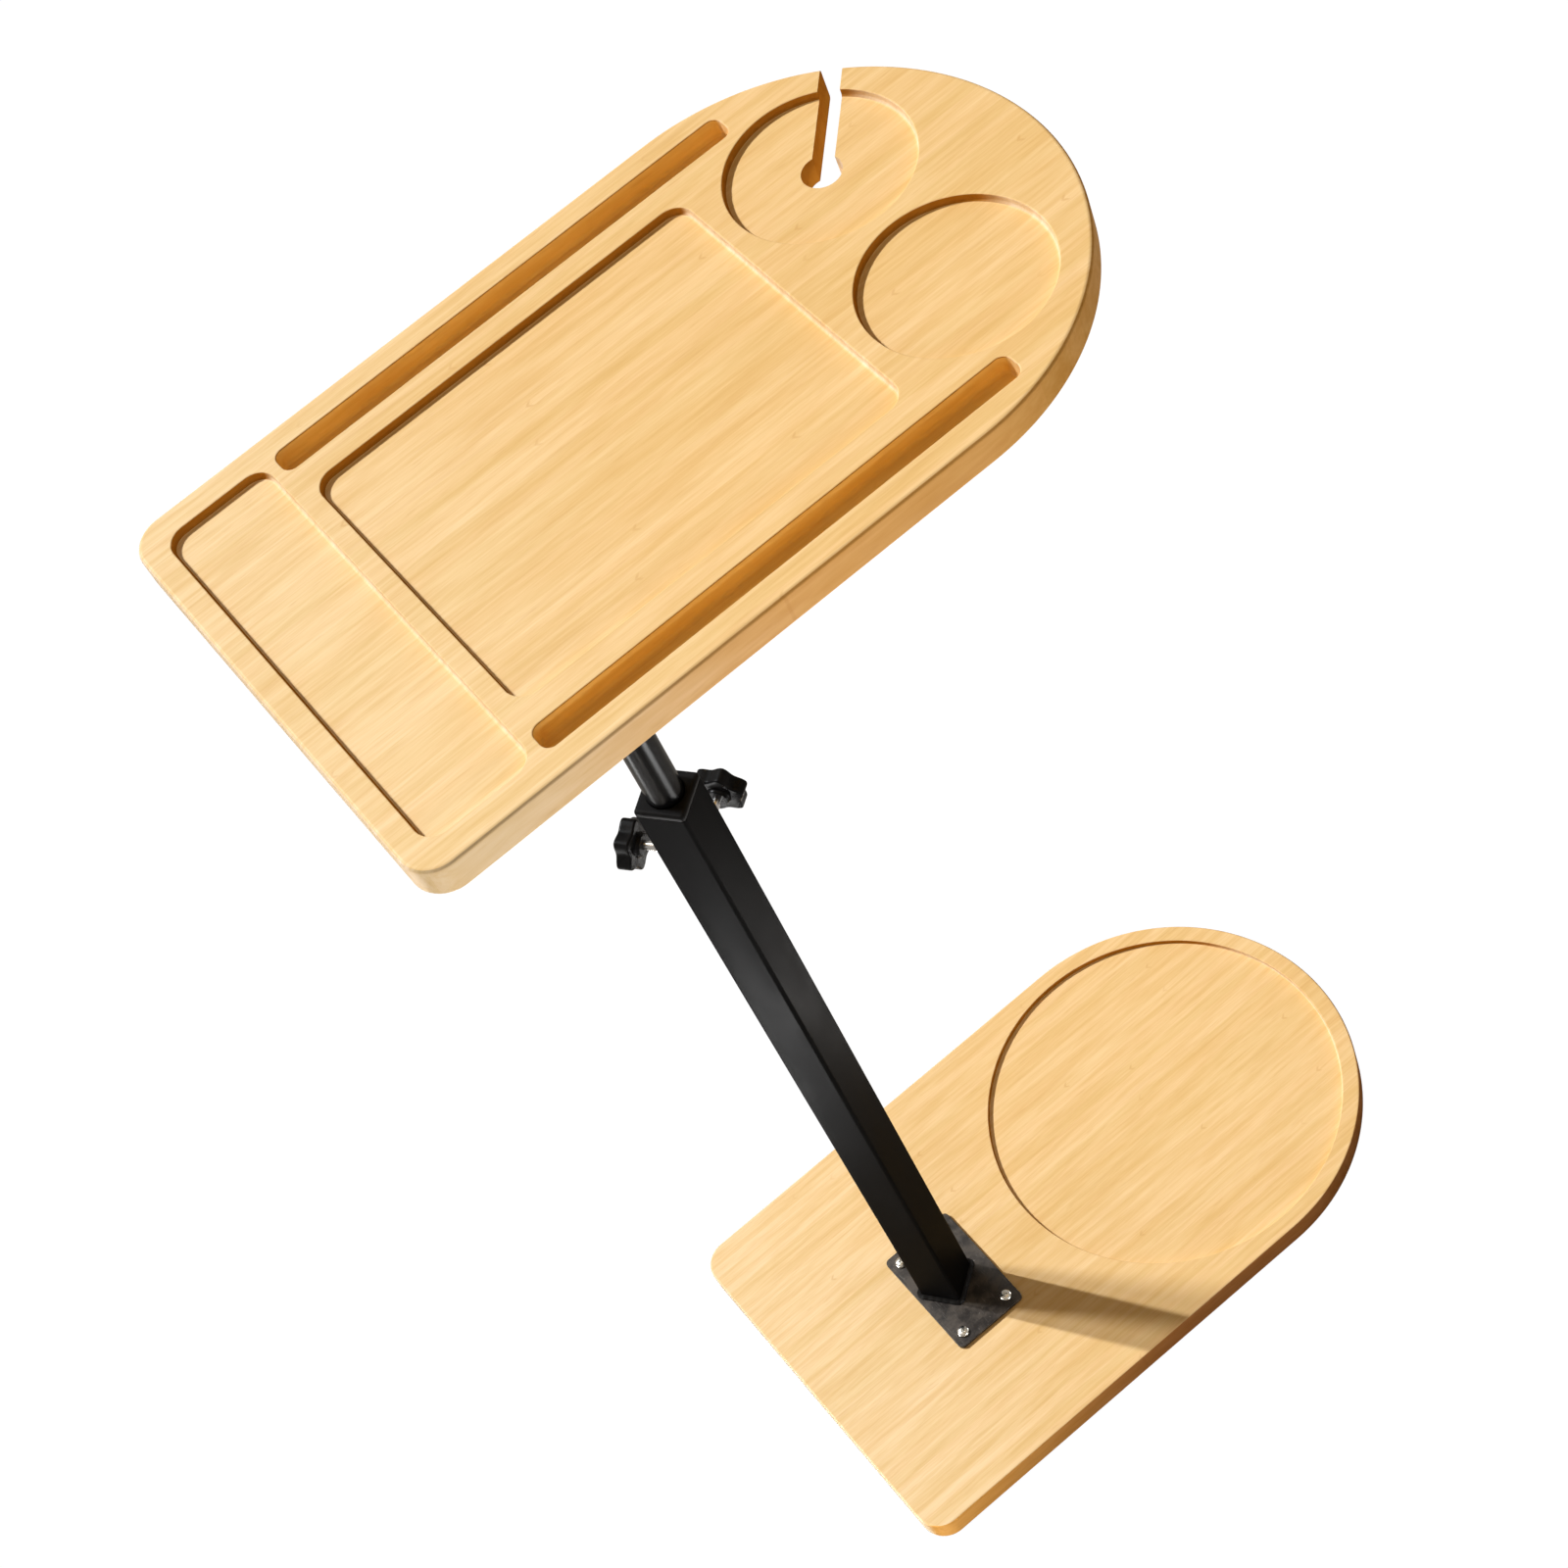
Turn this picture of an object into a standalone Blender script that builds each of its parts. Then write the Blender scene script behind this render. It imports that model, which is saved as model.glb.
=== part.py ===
"""Height-adjustable bathtub side table.

A D-shaped bamboo tabletop stands on a round steel tube that slides and turns in a square steel
tube. Two star knobs clamp it. The square tube is welded to a plate on a bamboo base board.

The origin is on the floor, below the middle of the table's outline. +X runs to the tabletop's round
end, +Y to the side with the stemware slot, +Z up. Lengths are in metres and angles in degrees.
"""

import math

import bmesh
import bpy
from mathutils import Matrix

# Clearances
GAP = 0.0003
SCREW_HOLE_GAP = 0.0005
STUD_HOLE_GAP = 0.0006
RUNNING_GAP = 0.0001

# Tabletop board, local x from its square end
TOP_LENGTH = 0.500
TOP_WIDTH = 0.300
TOP_THICKNESS = 0.022
TOP_CORNER_RADIUS = 0.020
TOP_EDGE_ROUND = 0.0025
TOP_LOWER_ROUND = 0.0015
POLE_FROM_TOP_END = 0.154

# Recesses in the tabletop
END_RIM = 0.0155
SMALL_TRAY_SIDE_RIM = 0.017
SMALL_TRAY_LENGTH = 0.0655
TRAY_TRAY_GAP = 0.012
TRAY_DEPTH = 0.005
TRAY_CORNER_RADIUS = 0.012
GROOVE_SIDE_RIM = 0.016
GROOVE_WIDTH = 0.017
GROOVE_DEPTH = 0.012
GROOVE_CORNER_RADIUS = 0.006
GROOVE_FROM_SMALL_TRAY = 0.0065
GROOVE_FROM_TIP = 0.1115
GROOVE_TRAY_GAP = 0.0165
CUP_DIAMETER = 0.107
CUP_SPACING = 0.117
CUP_FROM_TIP = 0.0955
CUP_DEPTH = 0.005
CUP_TRAY_GAP = 0.0115
STEM_HOLE_DIAMETER = 0.023
STEM_SLOT_WIDTH = 0.0125
COVE_RADIUS = 0.002
RIM_ROUND = 0.0008

# Base board, local x from its square end
BASE_LENGTH = 0.500
BASE_WIDTH = 0.300
BASE_THICKNESS = 0.022
BASE_CORNER_RADIUS = 0.020
BASE_EDGE_ROUND = 0.0015
POLE_FROM_BASE_END = 0.132
BASE_RECESS_RIM = 0.013
BASE_RECESS_DEPTH = 0.004
BASE_COVE_RADIUS = 0.001

# Foot pads
PAD_DIAMETER = 0.030
PAD_THICKNESS = 0.003
PAD_EDGE_DISTANCE = 0.028
PAD_CHAMFER = 0.0006
TIP_PAD_ANGLE = 50.0

# Steel plates, one on the base board and one under the tabletop. The one on the base is off centre.
PLATE_LENGTH = 0.061
PLATE_WIDTH = 0.096
BASE_PLATE_SHIFT = (0.004, -0.004)
PLATE_THICKNESS = 0.003
PLATE_CORNER_RADIUS = 0.004
PLATE_EDGE_ROUND = 0.0004
PLATE_HOLE_INSET = 0.0095
WELD_SIZE = 0.003

# Pan-head wood screws
SCREW_DIAMETER = 0.004
SCREW_LENGTH = 0.012
SCREW_HEAD_DIAMETER = 0.009
SCREW_HEAD_HEIGHT = 0.0028
CROSS_LENGTH = 0.0044
CROSS_WIDTH = 0.0010
CROSS_DEPTH = 0.0012
PILOT_SPARE_DEPTH = 0.0006

# Square outer tube and its cap
OUTER_TUBE_SIDE = 0.032
OUTER_TUBE_WALL = 0.002
OUTER_TUBE_CORNER_RADIUS = 0.0025
OUTER_TUBE_LENGTH = 0.7075
OUTER_TUBE_TURN = 36.5
CAP_RIM_HEIGHT = 0.0045
CAP_EDGE_ROUND = 0.0024
CAP_PLUG_DEPTH = 0.020

# Round inner tube, its end plug and the guide below it
INNER_TUBE_DIAMETER = 0.023
INNER_TUBE_WALL = 0.0015
INNER_TUBE_LENGTH = 0.500
EXTENSION = 0.2435
PLUG_LENGTH = 0.015
GUIDE_HEIGHT = 0.016
GUIDE_CORNER_RADIUS = 0.0015
WASHER_DIAMETER = 0.016
WASHER_THICKNESS = 0.001
GUIDE_SCREW_BITE = 0.010

# Clamp knobs, one on each rear face of the square tube
CLAMP_DROP = 0.068
STUD_DIAMETER = 0.006
STUD_CHAMFER = 0.0006
KNOB_STANDOFF = 0.0203
STUD_IN_KNOB = 0.0075
NUT_ACROSS_FLATS = 0.012
NUT_HEIGHT = 0.006
KNOB_DIAMETER = 0.035
KNOB_THICKNESS = 0.010
KNOB_LOBES = 6
KNOB_VALLEY_DEPTH = 0.0034
KNOB_LOBE_SHAPE = 0.8
KNOB_EDGE_ROUND = 0.0014
HUB_DIAMETER = 0.0145
HUB_HEIGHT = 0.0025
LEFT_FACE_ANGLE = 90.0
RIGHT_FACE_ANGLE = 0.0
LEFT_KNOB_TURN = 27.5
RIGHT_KNOB_TURN = 16.5

# Facets
TUBE_SIDES = 32
SMALL_SIDES = 16
CORNER_STEPS = 6
TUBE_CORNER_STEPS = 3
END_STEPS = 40
CUP_SIDES = 64
ROUND_STEPS = 3
LOBE_POINTS = 8
OVERSHOOT = 0.002

# The pole's place along x, which puts the origin in the middle of the table's length
LENGTH_BEHIND_POLE = max(POLE_FROM_TOP_END, POLE_FROM_BASE_END)
LENGTH_BEFORE_POLE = max(TOP_LENGTH - POLE_FROM_TOP_END, BASE_LENGTH - POLE_FROM_BASE_END)
POLE_X = (LENGTH_BEHIND_POLE - LENGTH_BEFORE_POLE) / 2

# Heights, from the floor up
BASE_BOTTOM = PAD_THICKNESS + GAP
BASE_TOP = BASE_BOTTOM + BASE_THICKNESS
BASE_PLATE_BOTTOM = BASE_TOP + GAP
BASE_PLATE_TOP = BASE_PLATE_BOTTOM + PLATE_THICKNESS
OUTER_TUBE_BOTTOM = BASE_PLATE_TOP + GAP
OUTER_TUBE_TOP = OUTER_TUBE_BOTTOM + OUTER_TUBE_LENGTH
CAP_RIM_BOTTOM = OUTER_TUBE_TOP + GAP
CAP_TOP = CAP_RIM_BOTTOM + CAP_RIM_HEIGHT
CLAMP_HEIGHT = CAP_TOP - CLAMP_DROP
UPPER_PLATE_BOTTOM = CAP_TOP + EXTENSION
UPPER_PLATE_TOP = UPPER_PLATE_BOTTOM + PLATE_THICKNESS
TOP_BOTTOM = UPPER_PLATE_TOP + GAP
INNER_TUBE_TOP = UPPER_PLATE_BOTTOM - GAP
INNER_TUBE_BOTTOM = INNER_TUBE_TOP - INNER_TUBE_LENGTH
GUIDE_TOP = INNER_TUBE_BOTTOM - GAP
GUIDE_BOTTOM = GUIDE_TOP - GUIDE_HEIGHT
WASHER_TOP = GUIDE_BOTTOM - GAP
WASHER_BOTTOM = WASHER_TOP - WASHER_THICKNESS
GUIDE_SCREW_SEAT = WASHER_BOTTOM - GAP
GUIDE_SCREW_LENGTH = INNER_TUBE_BOTTOM + GUIDE_SCREW_BITE - GUIDE_SCREW_SEAT

# Half sizes and radii that several pieces share
INNER_TUBE_RADIUS = INNER_TUBE_DIAMETER / 2
OUTER_TUBE_INSIDE = OUTER_TUBE_SIDE - 2 * OUTER_TUBE_WALL
CUP_RADIUS = CUP_DIAMETER / 2
SCREW_RADIUS = SCREW_DIAMETER / 2
STUD_RADIUS = STUD_DIAMETER / 2

BAMBOO = (0.80, 0.56, 0.28)
BLACK_PAINT = (0.012, 0.012, 0.013)
DARK_STEEL = (0.07, 0.066, 0.062)
BRIGHT_STEEL = (0.62, 0.62, 0.60)
BLACK_PLASTIC = (0.010, 0.010, 0.011)
DARK_RUBBER = (0.03, 0.03, 0.03)


def clear_scene():
    for item in list(bpy.data.objects):
        bpy.data.objects.remove(item, do_unlink=True)


def make_material(name, colour, roughness, metallic):
    material = bpy.data.materials.new(name)
    material.use_nodes = True
    shader = material.node_tree.nodes["Principled BSDF"]
    shader.inputs["Base Color"].default_value = (*colour, 1.0)
    shader.inputs["Roughness"].default_value = roughness
    shader.inputs["Metallic"].default_value = metallic
    return material


def arc(centre, radius, start, end, steps):
    """Points on an arc, both ends included."""
    points = []
    for k in range(steps + 1):
        angle = math.radians(start + (end - start) * k / steps)
        x = centre[0] + radius * math.cos(angle)
        y = centre[1] + radius * math.sin(angle)
        points.append((x, y))
    return points


def circle(radius, sides, centre=(0.0, 0.0)):
    """An outline function: a circle, drawn in by the inset."""
    def outline(inset):
        return arc(centre, radius - inset, 0, 360 * (sides - 1) / sides, sides - 1)
    return outline


def rounded_rectangle(low, high, radius, steps=CORNER_STEPS):
    """An outline function: a rectangle between two corners, with rounded corners."""
    def outline(inset):
        turn = radius - inset
        corners = [
            (high[0] - radius, low[1] + radius, -90),
            (high[0] - radius, high[1] - radius, 0),
            (low[0] + radius, high[1] - radius, 90),
            (low[0] + radius, low[1] + radius, 180),
        ]
        points = []
        for x, y, start in corners:
            points += arc((x, y), turn, start, start + 90, steps)
        return points
    return outline


def rounded_square(side, radius, steps=CORNER_STEPS):
    half = side / 2
    return rounded_rectangle((-half, -half), (half, half), radius, steps)


def d_shape(length, width, corner):
    """An outline function: square end at x = 0, half-round end at x = length."""
    half = width / 2

    def outline(inset):
        points = arc((corner, corner - half), corner - inset, 180, 270, CORNER_STEPS)
        points += arc((length - half, 0), half - inset, -90, 90, END_STEPS)
        points += arc((corner, half - corner), corner - inset, 90, 180, CORNER_STEPS)
        return points
    return outline


def keyhole(hole_radius, slot_width, reach):
    """An outline function: a round hole at the origin with a slot along +x."""
    half = slot_width / 2
    neck = math.degrees(math.asin(half / hole_radius))

    def outline(inset):
        points = arc((0, 0), hole_radius, neck, 360 - neck, SMALL_SIDES + CORNER_STEPS)
        points += [(reach, -half), (reach, half)]
        return points
    return outline


def star(radius, lobes, valley):
    """An outline function: broad lobes with narrow valleys between them."""
    count = lobes * LOBE_POINTS

    def outline(inset):
        points = []
        for k in range(count):
            angle = 2 * math.pi * k / count
            dip = (0.5 - 0.5 * math.cos(lobes * angle)) ** KNOB_LOBE_SHAPE
            reach = radius - inset - valley * dip
            points.append((reach * math.cos(angle), reach * math.sin(angle)))
        return points
    return outline


def block_section(low, high, low_round=0.0, high_round=0.0):
    """Insets and heights up the side of a block with rounded edges."""
    section = []
    for k in range(ROUND_STEPS + 1 if low_round else 1):
        angle = math.pi / 2 * k / ROUND_STEPS
        section.append((low_round * (1 - math.sin(angle)), low + low_round * (1 - math.cos(angle))))
    for k in range(ROUND_STEPS + 1 if high_round else 1):
        angle = math.pi / 2 * k / ROUND_STEPS
        section.append((high_round * (1 - math.cos(angle)), high - high_round * (1 - math.sin(angle))))
    return section


def recess_section(top, depth, cove):
    """Insets and heights up a recess: coved floor edge, upright wall, rounded rim, then clear above."""
    section = block_section(top - depth, top - RIM_ROUND, cove, 0.0)
    for angle in (math.radians(30), math.radians(60)):
        inset = -RIM_ROUND * (1 - math.cos(angle))
        section.append((inset, top - RIM_ROUND * (1 - math.sin(angle))))
    flare = RIM_ROUND * 1.5
    section.append((-flare, top + RIM_ROUND * (1 - math.sin(math.radians(60)))))
    section.append((-flare, top + OVERSHOOT))
    return section


def add_ring(mesh, points, height, shift=(0.0, 0.0)):
    return [mesh.verts.new((x + shift[0], y + shift[1], height)) for x, y in points]


def join_rings(mesh, lower, upper):
    count = len(lower)
    for k in range(count):
        after = (k + 1) % count
        mesh.faces.new((lower[k], lower[after], upper[after], upper[k]))


def add_solid(mesh, outline, section, shift=(0.0, 0.0)):
    """A closed body: the outline carried up the section, from bottom to top, and capped."""
    rings = [add_ring(mesh, outline(inset), height, shift) for inset, height in section]
    for lower, upper in zip(rings, rings[1:]):
        join_rings(mesh, lower, upper)
    mesh.faces.new(list(reversed(rings[0])))
    mesh.faces.new(rings[-1])


def add_sleeve(mesh, outline, section):
    """A closed body with a hole through it: the section runs up the outside and down the inside."""
    rings = [add_ring(mesh, outline(inset), height) for inset, height in section]
    for k, lower in enumerate(rings):
        join_rings(mesh, lower, rings[(k + 1) % len(rings)])


def finish_mesh(name, mesh):
    bmesh.ops.triangulate(mesh, faces=[f for f in mesh.faces if len(f.verts) > 4])
    data = bpy.data.meshes.new(name)
    mesh.to_mesh(data)
    mesh.free()
    data.shade_smooth()
    data.set_sharp_from_angle(angle=math.radians(35))
    return data


def place(name, mesh, parent, location=(0.0, 0.0, 0.0), material=None):
    """A named object for a finished bmesh, hung from an empty."""
    item = bpy.data.objects.new(name, finish_mesh(name, mesh))
    bpy.context.scene.collection.objects.link(item)
    item.parent = parent
    item.location = location
    if material is not None:
        item.data.materials.append(material)
    return item


def solid(name, outline, section, parent, location=(0.0, 0.0, 0.0), material=None):
    mesh = bmesh.new()
    add_solid(mesh, outline, section)
    return place(name, mesh, parent, location, material)


def sleeve(name, outline, section, parent, location=(0.0, 0.0, 0.0), material=None):
    mesh = bmesh.new()
    add_sleeve(mesh, outline, section)
    return place(name, mesh, parent, location, material)


def cut(body, cutter):
    """Subtracts a hidden cutter from a body."""
    cutter.hide_render = True
    cutter.display_type = "WIRE"
    modifier = body.modifiers.new("cut_" + cutter.name, "BOOLEAN")
    modifier.operation = "DIFFERENCE"
    modifier.solver = "EXACT"
    modifier.object = cutter
    return body


def empty(name, location, rotation=(0.0, 0.0, 0.0), parent=None):
    item = bpy.data.objects.new(name, None)
    bpy.context.scene.collection.objects.link(item)
    item.location = location
    item.rotation_euler = [math.radians(angle) for angle in rotation]
    item.parent = parent
    return item


def plate_holes():
    """Centres of a plate's screw holes, from the plate's middle."""
    x = PLATE_LENGTH / 2 - PLATE_HOLE_INSET
    y = PLATE_WIDTH / 2 - PLATE_HOLE_INSET
    return [(-x, -y), (x, -y), (x, y), (-x, y)]


def hole_cutter(name, radius, low, high, centres, parent, location):
    mesh = bmesh.new()
    for centre in centres:
        add_solid(mesh, circle(radius, SMALL_SIDES), block_section(low, high), centre)
    return place(name, mesh, parent, location)


def make_tabletop(parent, material):
    """The board, its local x from the square end and its local z from the underside."""
    location = (-POLE_FROM_TOP_END, 0, TOP_BOTTOM)
    outline = d_shape(TOP_LENGTH, TOP_WIDTH, TOP_CORNER_RADIUS)
    section = block_section(0, TOP_THICKNESS, TOP_LOWER_ROUND, TOP_EDGE_ROUND)
    board = solid("tabletop", outline, section, parent, location, material)
    for cutter in tabletop_cutters(parent, location):
        cut(board, cutter)
    return board


def tabletop_cutters(parent, location):
    half = TOP_WIDTH / 2
    small_end = END_RIM + SMALL_TRAY_LENGTH
    cup_x = TOP_LENGTH - CUP_FROM_TIP
    groove_low = half - GROOVE_SIDE_RIM - GROOVE_WIDTH
    small_half = half - SMALL_TRAY_SIDE_RIM
    large_half = groove_low - GROOVE_TRAY_GAP
    large_end = cup_x - CUP_RADIUS - CUP_TRAY_GAP
    tray = recess_section(TOP_THICKNESS, TRAY_DEPTH, COVE_RADIUS)
    groove = recess_section(TOP_THICKNESS, GROOVE_DEPTH, COVE_RADIUS)
    cup = recess_section(TOP_THICKNESS, CUP_DEPTH, COVE_RADIUS)

    small = rounded_rectangle((END_RIM, -small_half), (small_end, small_half), TRAY_CORNER_RADIUS)
    large = rounded_rectangle(
        (small_end + TRAY_TRAY_GAP, -large_half), (large_end, large_half), TRAY_CORNER_RADIUS)
    cutters = [
        solid("small_tray_cutter", small, tray, parent, location),
        solid("large_tray_cutter", large, tray, parent, location),
    ]
    groove_start = small_end + GROOVE_FROM_SMALL_TRAY
    groove_end = TOP_LENGTH - GROOVE_FROM_TIP
    for side, low in (("front", -groove_low - GROOVE_WIDTH), ("back", groove_low)):
        slot = rounded_rectangle(
            (groove_start, low), (groove_end, low + GROOVE_WIDTH), GROOVE_CORNER_RADIUS)
        cutters.append(solid(side + "_groove_cutter", slot, groove, parent, location))
    for side, y in (("front", -CUP_SPACING / 2), ("back", CUP_SPACING / 2)):
        ring = circle(CUP_RADIUS, CUP_SIDES, (cup_x, y))
        cutters.append(solid(side + "_cup_cutter", ring, cup, parent, location))
    cutters.append(stem_cutter(cup_x, parent, location))
    cutters.append(hole_cutter(
        "tabletop_pilot_cutter", SCREW_RADIUS + GAP, -OVERSHOOT, pilot_depth(),
        [(x + POLE_FROM_TOP_END, y) for x, y in plate_holes()], parent, location))
    return cutters


def stem_cutter(cup_x, parent, location):
    """The keyhole for a glass stem: it runs from the back cup straight out of the round end."""
    y = CUP_SPACING / 2
    to_cup = (cup_x - (TOP_LENGTH - TOP_WIDTH / 2), y)
    reach = TOP_WIDTH / 2 - math.hypot(*to_cup) + TOP_WIDTH / 10
    section = block_section(-OVERSHOOT, TOP_THICKNESS + OVERSHOOT)
    outline = keyhole(STEM_HOLE_DIAMETER / 2, STEM_SLOT_WIDTH, reach)
    place_at = (location[0] + cup_x, y, location[2])
    cutter = solid("stem_cutter", outline, section, parent, place_at)
    cutter.rotation_euler = (0, 0, math.atan2(to_cup[1], to_cup[0]))
    return cutter


def pilot_depth():
    """Depth of a blind screw hole in a board, from the face that the plate lies on."""
    return SCREW_LENGTH - PLATE_THICKNESS - GAP + PILOT_SPARE_DEPTH


def make_base_board(parent, material):
    location = (-POLE_FROM_BASE_END, 0, BASE_BOTTOM)
    outline = d_shape(BASE_LENGTH, BASE_WIDTH, BASE_CORNER_RADIUS)
    section = block_section(0, BASE_THICKNESS, BASE_EDGE_ROUND, BASE_EDGE_ROUND)
    board = solid("base_board", outline, section, parent, location, material)
    recess = circle(BASE_WIDTH / 2 - BASE_RECESS_RIM, CUP_SIDES, (BASE_LENGTH - BASE_WIDTH / 2, 0))
    depth = recess_section(BASE_THICKNESS, BASE_RECESS_DEPTH, BASE_COVE_RADIUS)
    cut(board, solid("base_recess_cutter", recess, depth, parent, location))
    cut(board, hole_cutter(
        "base_pilot_cutter", SCREW_RADIUS + GAP, BASE_THICKNESS - pilot_depth(),
        BASE_THICKNESS + OVERSHOOT, base_pilot_places(), parent, location))
    return board


def base_pilot_places():
    """Centres of the screw holes in the base board, from its square end."""
    x0, y0 = BASE_PLATE_SHIFT
    return [(x + x0 + POLE_FROM_BASE_END, y + y0) for x, y in plate_holes()]


def pad_places():
    """Pad centres, from the pole: two by the square end and two on the round end."""
    half = BASE_WIDTH / 2
    y = half - PAD_EDGE_DISTANCE
    square_x = PAD_EDGE_DISTANCE - POLE_FROM_BASE_END
    turn = math.radians(TIP_PAD_ANGLE)
    tip_x = BASE_LENGTH - half - POLE_FROM_BASE_END + y * math.cos(turn)
    tip_y = y * math.sin(turn)
    return {
        "square_front": (square_x, -y),
        "square_back": (square_x, y),
        "round_front": (tip_x, -tip_y),
        "round_back": (tip_x, tip_y),
    }


def make_foot_pads(parent, colour):
    section = [(0, 0), (0, PAD_THICKNESS - PAD_CHAMFER), (PAD_CHAMFER, PAD_THICKNESS)]
    for side, (x, y) in pad_places().items():
        name = "foot_pad_" + side
        material = make_material(name, colour, 0.85, 0.0)
        solid(name, circle(PAD_DIAMETER / 2, TUBE_SIDES), section, parent, (x, y, 0), material)


def make_plate(name, bottom, parent, material):
    half_x = PLATE_LENGTH / 2
    half_y = PLATE_WIDTH / 2
    outline = rounded_rectangle((-half_x, -half_y), (half_x, half_y), PLATE_CORNER_RADIUS)
    section = block_section(0, PLATE_THICKNESS, PLATE_EDGE_ROUND, PLATE_EDGE_ROUND)
    plate = solid(name, outline, section, parent, (0, 0, bottom), material)
    cutter = hole_cutter(
        name + "_hole_cutter", SCREW_RADIUS + SCREW_HOLE_GAP, -OVERSHOOT,
        PLATE_THICKNESS + OVERSHOOT, plate_holes(), parent, (0, 0, bottom))
    return cut(plate, cutter)


def screw_section(length):
    """Insets from the head's rim and heights from the seat: shank below, domed head above."""
    rim = SCREW_HEAD_DIAMETER / 2
    shank = rim - SCREW_RADIUS
    point = rim - SCREW_RADIUS / 4
    section = [(point, -length), (shank, SCREW_DIAMETER - length), (shank, 0), (0, 0)]
    section.append((0, SCREW_HEAD_HEIGHT * 0.3))
    for share in (0.35, 0.7, 1.0):
        angle = math.pi / 2 * share
        inset = rim * 0.75 * (1 - math.cos(angle))
        section.append((inset, SCREW_HEAD_HEIGHT * (0.3 + 0.7 * math.sin(angle))))
    return section


def make_screw(name, centre, length, parent, seat, colour, upside_down=False):
    """A screw with a cross-shaped drive. Its seat is the height that the head rests at."""
    location = (centre[0], centre[1], seat)
    outline = circle(SCREW_HEAD_DIAMETER / 2, SMALL_SIDES)
    section = block_section(SCREW_HEAD_HEIGHT - CROSS_DEPTH, SCREW_HEAD_HEIGHT + OVERSHOOT)
    cross = cross_outline(CROSS_LENGTH / 2, CROSS_WIDTH / 2)
    material = make_material(name, colour, 0.3, 1.0)
    screw = solid(name, outline, screw_section(length), parent, location, material)
    cutter = solid(name + "_cross_cutter", cross, section, parent, location)
    if upside_down:
        screw.rotation_euler = (math.pi, 0, 0)
        cutter.rotation_euler = (math.pi, 0, 0)
    return cut(screw, cutter)


def make_plate_screws(prefix, parent, seat, upside_down=False):
    for k, centre in enumerate(plate_holes(), start=1):
        name = prefix + "_screw_" + str(k)
        make_screw(name, centre, SCREW_LENGTH, parent, seat, BRIGHT_STEEL, upside_down)


def cross_outline(half, thin):
    """An outline function: a plus sign."""
    quarter = [(half, -thin), (half, thin), (thin, thin)]

    def outline(inset):
        points = []
        for x, y in quarter:
            points.append((x, y))
        for x, y in quarter:
            points.append((-y, x))
        for x, y in quarter:
            points.append((-x, -y))
        for x, y in quarter:
            points.append((y, -x))
        return points
    return outline


def make_outer_tube(parent, material):
    outline = rounded_square(OUTER_TUBE_SIDE, OUTER_TUBE_CORNER_RADIUS, TUBE_CORNER_STEPS)
    wall = OUTER_TUBE_WALL
    section = [(0, 0), (0, OUTER_TUBE_LENGTH), (wall, OUTER_TUBE_LENGTH), (wall, 0)]
    tube = sleeve("outer_tube", outline, section, parent, (0, 0, OUTER_TUBE_BOTTOM), material)
    for side, angle in (("left", LEFT_FACE_ANGLE), ("right", RIGHT_FACE_ANGLE)):
        reach = OUTER_TUBE_SIDE
        drill = solid(
            side + "_stud_cutter", circle(STUD_RADIUS + STUD_HOLE_GAP, SMALL_SIDES),
            block_section(OUTER_TUBE_SIDE / 4, reach), parent, (0, 0, CLAMP_HEIGHT))
        drill.rotation_euler = (0, math.pi / 2, math.radians(angle))
        cut(tube, drill)
    return tube


def make_top_cap(parent, material):
    """A square cap with a plug that fills the tube's mouth and a bore that guides the round tube."""
    side = OUTER_TUBE_SIDE / 2
    step = OUTER_TUBE_WALL + GAP
    radius = OUTER_TUBE_CORNER_RADIUS
    rim = rounded_square(OUTER_TUBE_SIDE, radius, TUBE_CORNER_STEPS)
    inner = rounded_square(OUTER_TUBE_SIDE - 2 * step, GUIDE_CORNER_RADIUS, TUBE_CORNER_STEPS)
    mesh = bmesh.new()
    rings = [
        add_ring(mesh, inner(0), -CAP_PLUG_DEPTH),
        add_ring(mesh, inner(0), GAP),
    ]
    for inset, height in block_section(GAP, GAP + CAP_RIM_HEIGHT, 0, CAP_EDGE_ROUND):
        rings.append(add_ring(mesh, rim(inset), height))
    for lower, upper in zip(rings, rings[1:]):
        join_rings(mesh, lower, upper)
    mesh.faces.new(list(reversed(rings[0])))
    mesh.faces.new(rings[-1])
    cap = place("top_cap", mesh, parent, (0, 0, OUTER_TUBE_TOP), material)
    bore = solid(
        "cap_bore_cutter", circle(INNER_TUBE_RADIUS + RUNNING_GAP, TUBE_SIDES),
        block_section(-CAP_PLUG_DEPTH - side, CAP_RIM_HEIGHT + side), parent, (0, 0, OUTER_TUBE_TOP))
    return cut(cap, bore)


def make_inner_tube(parent, material):
    wall = INNER_TUBE_WALL
    section = [(0, 0), (0, INNER_TUBE_LENGTH), (wall, INNER_TUBE_LENGTH), (wall, 0)]
    outline = circle(INNER_TUBE_RADIUS, TUBE_SIDES)
    return sleeve("inner_tube", outline, section, parent, (0, 0, INNER_TUBE_BOTTOM), material)


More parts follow.
